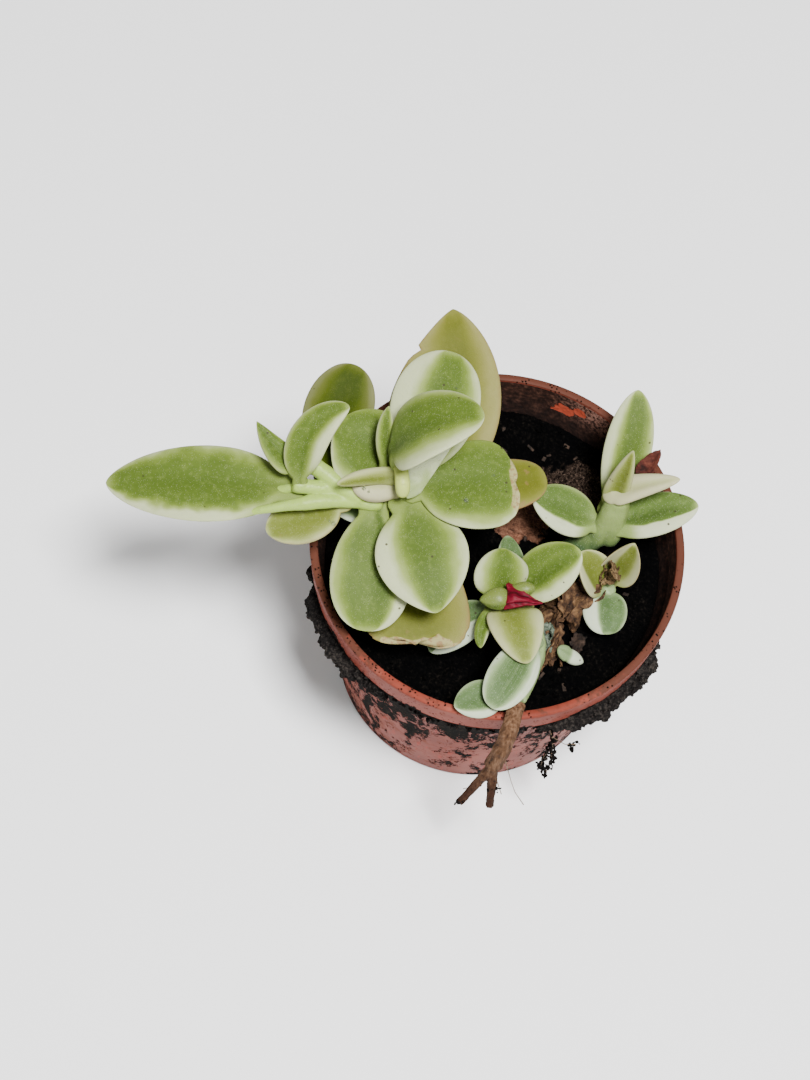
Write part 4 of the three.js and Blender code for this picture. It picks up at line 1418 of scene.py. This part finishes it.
def make_dead_parts(settings):
    """Dead leaves on the soil, the dried flower bud and the dried leaf of the right shoot."""
    brown = (settings.dead_shaded, settings.dead, settings.dead_lit)
    tan = dried_finish("dead_leaf", *brown, creased=0.12)
    # The right dead leaf is painted almost black: painted shade, like the soil round it
    almost_black = ((0.004, 0.003, 0.002), (0.012, 0.007, 0.005), (0.05, 0.03, 0.02))
    dark = dried_finish("dead_leaf_dark", *almost_black, creased=0.12)
    for side, seeds, reach, finish in (
        ("back", (1, 2, 3, 8, 12), 1.4, tan),
        ("front", (4, 5, 9, 13), 1.6, tan),
        ("right", (6, 7), 0.75, dark),
    ):
        node = f"fallen_leaf_{side}"
        settle(crumpled(f"dead_leaf_{side}", node, seeds, reach), "dried_leaf", finish, node)
    limp = crumpled("limp_leaf", "fallen_leaf_front", (21, 24), 0.75)
    limp.data.transform(Matrix.Translation(Vector((-1.2, 0.6, 1.6)) * MM))
    grey_green = ((0.012, 0.016, 0.01), (0.05, 0.066, 0.045), (0.16, 0.19, 0.14))
    settle(limp, "dried_leaf", dried_finish("limp_leaf", *grey_green, creased=0.15))
    bud = crumpled("bud_dried", "dried_bud", (14, 15, 17, 18), 1.35)
    straw = (settings.bud_shaded, settings.bud, settings.bud_lit)
    settle(bud, "dried_leaf", dried_finish("dried_bud", *straw, size=1.1), "dried_bud")
    curl = refined_copy("right_leaf_dried", "curled_dried", 0.2, 2)
    roughened(curl, 1.6, 0.5)
    curl.data.transform(Matrix.Translation(Vector((0, 1.1, 0.6)) * MM))
    red_brown = (settings.curl_shaded, settings.curl, settings.curl_lit)
    bract = dried_finish("curled_dried", *red_brown, size=2.4, creased=0.05)
    settle(curl, "dried_leaf", bract, "right_leaf_dried")


# Wood and roots


# Root threads: the points of each and its thickness
THREADS = {
    "root_thread_right": (((8.2, -43.5, 52), (10.5, -45.8, 45), (12, -46.5, 40), (14.5, -47.8, 36)), 0.26),
    "root_thread_middle": (((7, -46, 47), (8.4, -47.6, 44), (9, -48, 42)), 0.3),
    "root_thread_left": (((2.8, -48.6, 45), (2.2, -47.4, 41.5), (0.9, -47, 38.5)), 0.24),
    "root_hanging": (
        ((16.6, -34.4, 51), (18.2, -36, 47), (18.9, -36.4, 40), (19.6, -36.2, 32), (19.4, -36.4, 24)), 0.4,
    ),
    "root_loop": (
        ((17.8, -35.6, 48), (21, -35.8, 45), (23.6, -34.4, 42), (24, -33.4, 38), (22.6, -33.6, 36)), 0.24,
    ),
    "root_inner": (((18.6, -36.2, 43), (17.4, -36.8, 37), (17.6, -37, 31), (18.9, -36.6, 27)), 0.26),
}


def make_wood(settings):
    """The woody stem that hangs over the rim and forks, with a few root threads."""
    fork = refined_copy("woody_fork", "woody_stem", 0.28, 2)
    shaped(fork, "DISPLACE", strength=-0.04 * MM, mid_level=0)
    roughened(fork, 1.5, 0.2)
    settle(fork, "wood", wood_finish(settings), "woody_fork")
    root = dried_finish("root", settings.root_shaded, settings.root, settings.root_lit)
    for name, (points, thickness) in THREADS.items():
        settle(strand(name, points, thickness), "wood", root)
    make_root_crumbs()


def make_root_crumbs():
    """Soil that clings to the root threads, to a tip of the fork and to its crook."""
    source = random.Random(21)
    places = []
    for points, count in (
        (THREADS["root_hanging"][0], 75),
        (THREADS["root_inner"][0], 40),
        (THREADS["root_loop"][0], 9),
        (((-0.2, -50.6, 40.6), (1.2, -50.2, 41.6)), 8),
        (((3.6, -48.6, 46.5), (8.4, -48.4, 46)), 7),
    ):
        for _ in range(count):
            share = source.random() ** 0.8 * (len(points) - 1)
            step = min(int(share), len(points) - 2)
            spot = Vector(points[step]).lerp(Vector(points[step + 1]), share - step)
            spot += Vector([source.gauss(0, 0.4) for _ in range(3)])
            size = 0.45 + 1.1 * source.random() ** 2
            sizes = (size, size * 0.7, size * source.uniform(0.6, 1.6))
            places.append(crumb_place(spot, sizes, source))
    crumbs = scattered(crumb("root_crumb", 8), "root_crumbs", places)
    settle(crumbs, "peat", peat_finish("root_peat", patches=False, dryness=5), smooth=False)


# Droplets


def make_droplets(settings):
    """Drops of water, each on the nearest place of the leaf that carries it."""
    drops = []
    bpy.context.view_layer.update()
    for carrier, near, width in (
        ("blade_right_torn", (-8.5, -0.9, 86), 1.1),
        ("blade_right_torn", (-3.5, 5.5, 86), 0.6),
        ("blade_cream", (-29.3, -2.6, 87), 0.9),
        ("blade_cream", (-28.2, -3.2, 87), 0.6),
        ("blade_left_old", (-34.1, -9, 82), 1),
        ("blade_left_old", (-35.6, -8.2, 82), 0.6),
        ("blade_upper", (-14, 20, 95), 0.5),
        ("front_blade_over_rim", (3.6, -35.4, 70), 0.8),
        ("front_blade_over_rim", (2.2, -34.6, 70), 0.5),
    ):
        found, spot, normal, _ = bpy.data.objects[carrier].closest_point_on_mesh(Vector(near) * MM)
        if not found:
            raise RuntimeError(f"No place for a droplet on {carrier}")
        drop = add_primitive("ico_sphere", "droplet", subdivisions=3, radius=width / 2 * MM)
        turn = normal.to_track_quat("Z", "Y").to_matrix().to_4x4()
        flat = Matrix.Diagonal((1, 1, settings.flatness, 1))
        drop.data.transform(Matrix.Translation(spot) @ turn @ flat)
        drops.append(drop)
    settle(joined(drops, "droplets"), "green_leaf", water_finish(settings))


# Stage

# The photo's height and the focal length in the photo's pixels, the sensor's height in
# millimetres, and the camera's place in metres and its turns in degrees
PHOTO_HEIGHT = 1080
FOCAL_LENGTH = 2000
SENSOR = 36
CAMERA_PLACE = (-0.0195, -0.1734, 0.453)
CAMERA_PITCH = 66.28
CAMERA_ROLL = 8.67


def make_stage(settings):
    """A pale floor, soft studio light and the camera."""
    floor = add_primitive("plane", "floor", size=6, location=(0, 0, -0.2 * MM))
    finish = Finish("floor", Roughness=0.9, Specular_IOR_Level=0.1)
    floor.data.materials.append(finish.wear(settings.floor))
    for name, place, size, power in (
        ("key", (0.14, -0.2, 1.0), 0.22, settings.key_power),
        ("fill", (-0.1, -0.85, 0.5), 0.9, settings.fill_power),
    ):
        light = bpy.data.lights.new(name, "AREA")
        light.size = size
        light.energy = power
        lamp = bpy.data.objects.new(name, light)
        lamp.location = place
        towards_plant = Vector((0, 0, 0.06)) - Vector(place)
        lamp.rotation_euler = towards_plant.to_track_quat("-Z", "Y").to_euler()
        bpy.context.scene.collection.objects.link(lamp)
    world = bpy.data.worlds.new("studio")
    world.use_nodes = True
    sky = world.node_tree.nodes["Background"]
    sky.inputs["Color"].default_value = (1, 1, 1, 1)
    sky.inputs["Strength"].default_value = settings.sky
    bpy.context.scene.world = world
    make_camera()


def make_camera():
    """The camera, which looks down steeply and is rolled a little, as the photo shows the plant."""
    lens = bpy.data.cameras.new("camera")
    lens.sensor_width = SENSOR
    lens.lens = FOCAL_LENGTH / PHOTO_HEIGHT * SENSOR
    lens.clip_start = 0.01
    camera = bpy.data.objects.new("camera", lens)
    pitch, roll = math.radians(CAMERA_PITCH), math.radians(CAMERA_ROLL)
    forward = Vector((0, math.cos(pitch), -math.sin(pitch)))
    level = Vector((1, 0, 0))
    upright = level.cross(forward)
    right = level * math.cos(roll) + upright * math.sin(roll)
    up = upright * math.cos(roll) - level * math.sin(roll)
    turn = Matrix((right, up, -forward)).transposed().to_4x4()
    camera.matrix_world = Matrix.Translation(CAMERA_PLACE) @ turn
    bpy.context.scene.collection.objects.link(camera)
    bpy.context.scene.camera = camera


# Settings


def colour_setting(name, description, default):
    """A colour that a user may change."""
    return bpy.props.FloatVectorProperty(
        name=name, description=description, default=default, subtype="COLOR", size=3, min=0, max=1
    )


def length_setting(name, description, default):
    """A length that a user may change, given in millimetres and kept in metres."""
    return bpy.props.FloatProperty(
        name=name, description=description, default=default * MM, min=0, precision=5, unit="LENGTH"
    )


def count_setting(name, description, default, least=1):
    """A whole number that a user may change."""
    return bpy.props.IntProperty(name=name, description=description, default=default, min=least)


class PotSettings(bpy.types.PropertyGroup):
    """How the pot is made and coloured."""

    sides: count_setting("Sides", "Flat sides round the pot", 168, least=24)
    plastic_deep: colour_setting("Deep plastic", "Darkest shade of the plastic", (0.13, 0.024, 0.014))
    plastic: colour_setting("Plastic", "Usual shade of the plastic", (0.18, 0.038, 0.024))
    plastic_faded: colour_setting("Faded plastic", "Palest shade of the plastic", (0.24, 0.062, 0.042))
    scratches: colour_setting("Scratches", "Fresh plastic in scratches", (0.26, 0.028, 0.014))
    dust: colour_setting("Dust", "Thin dust on the outside", (0.15, 0.07, 0.05))
    stains: colour_setting("Stains", "Stains on the lip", (0.055, 0.024, 0.015))
    smears: colour_setting("Smears", "Soil smeared on the outside", (0.0035, 0.003, 0.0025))
    dry_smears: colour_setting("Dry smears", "Dry grains in the smears", (0.05, 0.034, 0.024))
    inside_dust: colour_setting("Inside dust", "Dust inside, below the rim", (0.24, 0.12, 0.09))
    # Colour of the two orange patches on the inner wall
    patch_orange: colour_setting("Bare wall", "Inner wall without its film of soil", (0.3, 0.05, 0.026))


class SoilSettings(bpy.types.PropertyGroup):
    """How fine the soil is and what lies on it."""

    grid: count_setting("Grid", "Cells across the soil", 190, least=20)
    crumbs: count_setting("Crumbs", "Loose crumbs on the soil", 650)
    least_crumb: length_setting("Smallest crumb", "Width of the smallest crumb on the soil", 0.45)
    crumb_range: length_setting("Crumb range", "How much wider the largest crumb is", 1.7)
    chips: count_setting("Chips", "Flakes of bark on the soil", 70)
    crust_crumbs: count_setting("Crust crumbs", "Crumbs on each crust outside the rim", 260)
    clod_dark: colour_setting("Dark clod", "Hollows of the dry clod", (0.03, 0.014, 0.009))
    clod: colour_setting("Clod", "Usual shade of the dry clod", (0.11, 0.048, 0.028))
    clod_light: colour_setting("Light clod", "Grains of the dry clod", (0.25, 0.125, 0.078))


class LeafSettings(bpy.types.PropertyGroup):
    """How fine the leaves are, and the colours of the usual green ones."""

    segments: count_setting("Segments", "Points round a leaf", 48, least=12)
    rings: count_setting("Rings", "Rings along a leaf", 44, least=12)
    rib: colour_setting("Rib", "Line down the middle of a leaf", (0.036, 0.064, 0.006))
    green: colour_setting("Green", "Middle of a leaf", (0.064, 0.101, 0.013))
    pale_green: colour_setting("Pale green", "Where the green starts to fade", (0.112, 0.16, 0.024))
    half_way: colour_setting("Half-way", "Half-way from green to cream", (0.21, 0.262, 0.07))
    margin: colour_setting("Margin", "Cream margin", (0.38, 0.41, 0.235))


class StemSettings(bpy.types.PropertyGroup):
    """The colours of the green stems, each near the soil and higher up."""

    main_shaded: colour_setting("Main stem, low", "Main stem near the soil", (0.09, 0.14, 0.03))
    main_lit: colour_setting("Main stem, high", "Main stem higher up", (0.27, 0.38, 0.07))
    right_shaded: colour_setting("Right stem, low", "Right stem near the soil", (0.03, 0.065, 0.025))
    right_lit: colour_setting("Right stem, high", "Right stem higher up", (0.18, 0.24, 0.07))
    bud_shaded: colour_setting("Bud stem, low", "Stem of the dried bud near the soil", (0.05, 0.08, 0.03))
    bud_lit: colour_setting("Bud stem, high", "Stem of the dried bud higher up", (0.2, 0.27, 0.12))
    front_shaded: colour_setting("Front stem, low", "Front stem near the soil", (0.12, 0.16, 0.06))
    front_lit: colour_setting("Front stem, high", "Front stem higher up", (0.22, 0.3, 0.12))
    stub_shaded: colour_setting("Stub, low", "Foot of the short stub", (0.2, 0.26, 0.04))
    stub_lit: colour_setting("Stub, high", "Top of the short stub", (0.38, 0.44, 0.1))
    strap_shaded: colour_setting("Strap, low", "Foot of the arching leaf's strap", (0.22, 0.28, 0.1))
    strap_lit: colour_setting("Strap, high", "Top of the arching leaf's strap", (0.42, 0.46, 0.28))


class FlowerSettings(bpy.types.PropertyGroup):
    """The colours of the calyx and the petals."""

    calyx_shaded: colour_setting("Calyx, low", "Underside of the calyx", (0.05, 0.085, 0.008))
    calyx_lit: colour_setting("Calyx, high", "Top of the calyx", (0.115, 0.148, 0.03))
    petal_fold_shade: colour_setting("Petal folds", "Deepest folds of the petals", (0.03, 0.001, 0.003))
    petal_dark: colour_setting("Dark petals", "Shaded parts of the petals", (0.085, 0.001, 0.008))
    petal: colour_setting("Petals", "Usual shade of the petals", (0.11, 0.0018, 0.01))
    petal_highlight: colour_setting("Light petals", "Crests of the petals", (0.15, 0.006, 0.02))


class DeadSettings(bpy.types.PropertyGroup):
    """The colours of the dead leaves, the dried bud and the curled dried leaf."""

    dead_shaded: colour_setting("Dead leaf, dark", "Hollows of the dead leaves", (0.006, 0.003, 0.002))
    dead: colour_setting("Dead leaf", "Usual shade of the dead leaves", (0.045, 0.021, 0.009))
    dead_lit: colour_setting("Dead leaf, light", "Folds of the dead leaves", (0.18, 0.1, 0.045))
    bud_shaded: colour_setting("Dried bud, dark", "Hollows of the dried bud", (0.02, 0.011, 0.006))
    bud: colour_setting("Dried bud", "Usual shade of the dried bud", (0.09, 0.052, 0.022))
    bud_lit: colour_setting("Dried bud, light", "Folds of the dried bud", (0.26, 0.175, 0.08))
    curl_shaded: colour_setting("Curled leaf, dark", "Hollows of the curled leaf", (0.014, 0.004, 0.003))
    curl: colour_setting("Curled leaf", "Usual shade of the curled leaf", (0.055, 0.012, 0.008))
    curl_lit: colour_setting("Curled leaf, light", "Folds of the curled leaf", (0.12, 0.034, 0.02))


class WoodSettings(bpy.types.PropertyGroup):
    """The colours of the bark and the roots."""

    bark_dark: colour_setting("Dark bark", "Grooves in the bark", (0.035, 0.016, 0.008))
    bark: colour_setting("Bark", "Usual shade of the bark", (0.095, 0.048, 0.025))
    bark_light: colour_setting("Light bark", "Ridges of the bark", (0.17, 0.095, 0.055))
    bark_end: colour_setting("Broken ends", "Bark towards the broken ends", (0.022, 0.008, 0.005))
    root_shaded: colour_setting("Root, dark", "Hollows of the roots", (0.04, 0.025, 0.016))
    root: colour_setting("Root", "Usual shade of the roots", (0.12, 0.075, 0.045))
    root_lit: colour_setting("Root, light", "Ridges of the roots", (0.3, 0.23, 0.15))


class DropletSettings(bpy.types.PropertyGroup):
    """The look of the drops of water."""

    flatness: bpy.props.FloatProperty(
        name="Flatness", description="A drop's height as a share of its width", default=0.7, min=0.1,
        max=1, subtype="FACTOR",
    )
    water: colour_setting("Water", "Tint of the drops", (0.85, 0.92, 0.75))


class StageSettings(bpy.types.PropertyGroup):
    """The floor and the light."""

    floor: colour_setting("Floor", "Colour of the floor", (0.9, 0.9, 0.9))
    key_power: bpy.props.FloatProperty(
        name="Key light", description="Power of the main light", default=27, min=0, unit="POWER"
    )
    fill_power: bpy.props.FloatProperty(
        name="Fill light", description="Power of the soft light in front", default=4, min=0, unit="POWER"
    )
    sky: bpy.props.FloatProperty(
        name="Sky", description="Brightness of the light all round", default=0.21, min=0, subtype="FACTOR"
    )


# Operators and the panel


class PLANT_OT_pot(bpy.types.Operator):
    """Make the plastic pot"""

    bl_idname = "plant.pot"
    bl_label = "Pot"

    def execute(self, context):
        make_pot(context.scene.pot_settings)
        return {"FINISHED"}


class PLANT_OT_soil(bpy.types.Operator):
    """Make the soil with its crumbs, chips and clod"""

    bl_idname = "plant.soil"
    bl_label = "Soil"

    def execute(self, context):
        make_soil(context.scene.soil_settings)
        return {"FINISHED"}


class PLANT_OT_crust(bpy.types.Operator):
    """Make the soil that clings outside the rim"""

    bl_idname = "plant.crust"
    bl_label = "Crust"

    def execute(self, context):
        make_crust(context.scene.soil_settings)
        return {"FINISHED"}


class PLANT_OT_stems(bpy.types.Operator):
    """Make the green stems and the leaf stalks"""

    bl_idname = "plant.stems"
    bl_label = "Stems"

    def execute(self, context):
        make_stems(context.scene.stem_settings)
        return {"FINISHED"}


class PLANT_OT_leaves(bpy.types.Operator):
    """Make every living leaf"""

    bl_idname = "plant.leaves"
    bl_label = "Leaves"

    def execute(self, context):
        make_leaves(context.scene.leaf_settings)
        return {"FINISHED"}


class PLANT_OT_flower(bpy.types.Operator):
    """Make the calyx and the wilted petals"""

    bl_idname = "plant.flower"
    bl_label = "Flower"

    def execute(self, context):
        make_flower(context.scene.flower_settings)
        return {"FINISHED"}


class PLANT_OT_dead_parts(bpy.types.Operator):
    """Make the dead leaves, the dried bud and the curled leaf"""

    bl_idname = "plant.dead_parts"
    bl_label = "Dead parts"

    def execute(self, context):
        make_dead_parts(context.scene.dead_settings)
        return {"FINISHED"}


class PLANT_OT_wood(bpy.types.Operator):
    """Make the woody fork and the root threads"""

    bl_idname = "plant.wood"
    bl_label = "Wood and roots"

    def execute(self, context):
        make_wood(context.scene.wood_settings)
        return {"FINISHED"}


class PLANT_OT_droplets(bpy.types.Operator):
    """Make the drops of water on the leaves"""

    bl_idname = "plant.droplets"
    bl_label = "Droplets"

    def execute(self, context):
        make_droplets(context.scene.droplet_settings)
        return {"FINISHED"}


class PLANT_OT_stage(bpy.types.Operator):
    """Set the floor, the light and the camera"""

    bl_idname = "plant.stage"
    bl_label = "Stage"

    def execute(self, context):
        make_stage(context.scene.stage_settings)
        return {"FINISHED"}


SETTINGS = {
    "pot_settings": PotSettings,
    "soil_settings": SoilSettings,
    "stem_settings": StemSettings,
    "leaf_settings": LeafSettings,
    "flower_settings": FlowerSettings,
    "dead_settings": DeadSettings,
    "wood_settings": WoodSettings,
    "droplet_settings": DropletSettings,
    "stage_settings": StageSettings,
}

# The operators, in the order in which they build the plant
OPERATORS = (
    PLANT_OT_pot,
    PLANT_OT_soil,
    PLANT_OT_crust,
    PLANT_OT_stems,
    PLANT_OT_leaves,
    PLANT_OT_flower,
    PLANT_OT_dead_parts,
    PLANT_OT_wood,
    PLANT_OT_droplets,
    PLANT_OT_stage,
)


class PLANT_PT_panel(bpy.types.Panel):
    """Lists the sizes and colours, and the operators that build the plant"""

    bl_label = "Ice plant"
    bl_space_type = "VIEW_3D"
    bl_region_type = "UI"
    bl_category = "Ice plant"

    def draw(self, context):
        for name, kind in SETTINGS.items():
            box = self.layout.box()
            for setting in kind.__annotations__:
                box.prop(getattr(context.scene, name), setting)
        for operator in OPERATORS:
            self.layout.operator(operator.bl_idname)


def register():
    for kind in (*SETTINGS.values(), *OPERATORS, PLANT_PT_panel):
        bpy.utils.register_class(kind)
    for name, kind in SETTINGS.items():
        setattr(bpy.types.Scene, name, bpy.props.PointerProperty(type=kind))


def unregister():
    for name in SETTINGS:
        delattr(bpy.types.Scene, name)
    for kind in (PLANT_PT_panel, *reversed(OPERATORS), *reversed(SETTINGS.values())):
        bpy.utils.unregister_class(kind)


def main():
    register()
    bpy.ops.plant.pot()
    bpy.ops.plant.soil()
    bpy.ops.plant.crust()
    bpy.ops.plant.stems()
    bpy.ops.plant.leaves()
    bpy.ops.plant.flower()
    bpy.ops.plant.dead_parts()
    bpy.ops.plant.wood()
    bpy.ops.plant.droplets()
    bpy.ops.plant.stage()


if __name__ == "__main__":
    main()
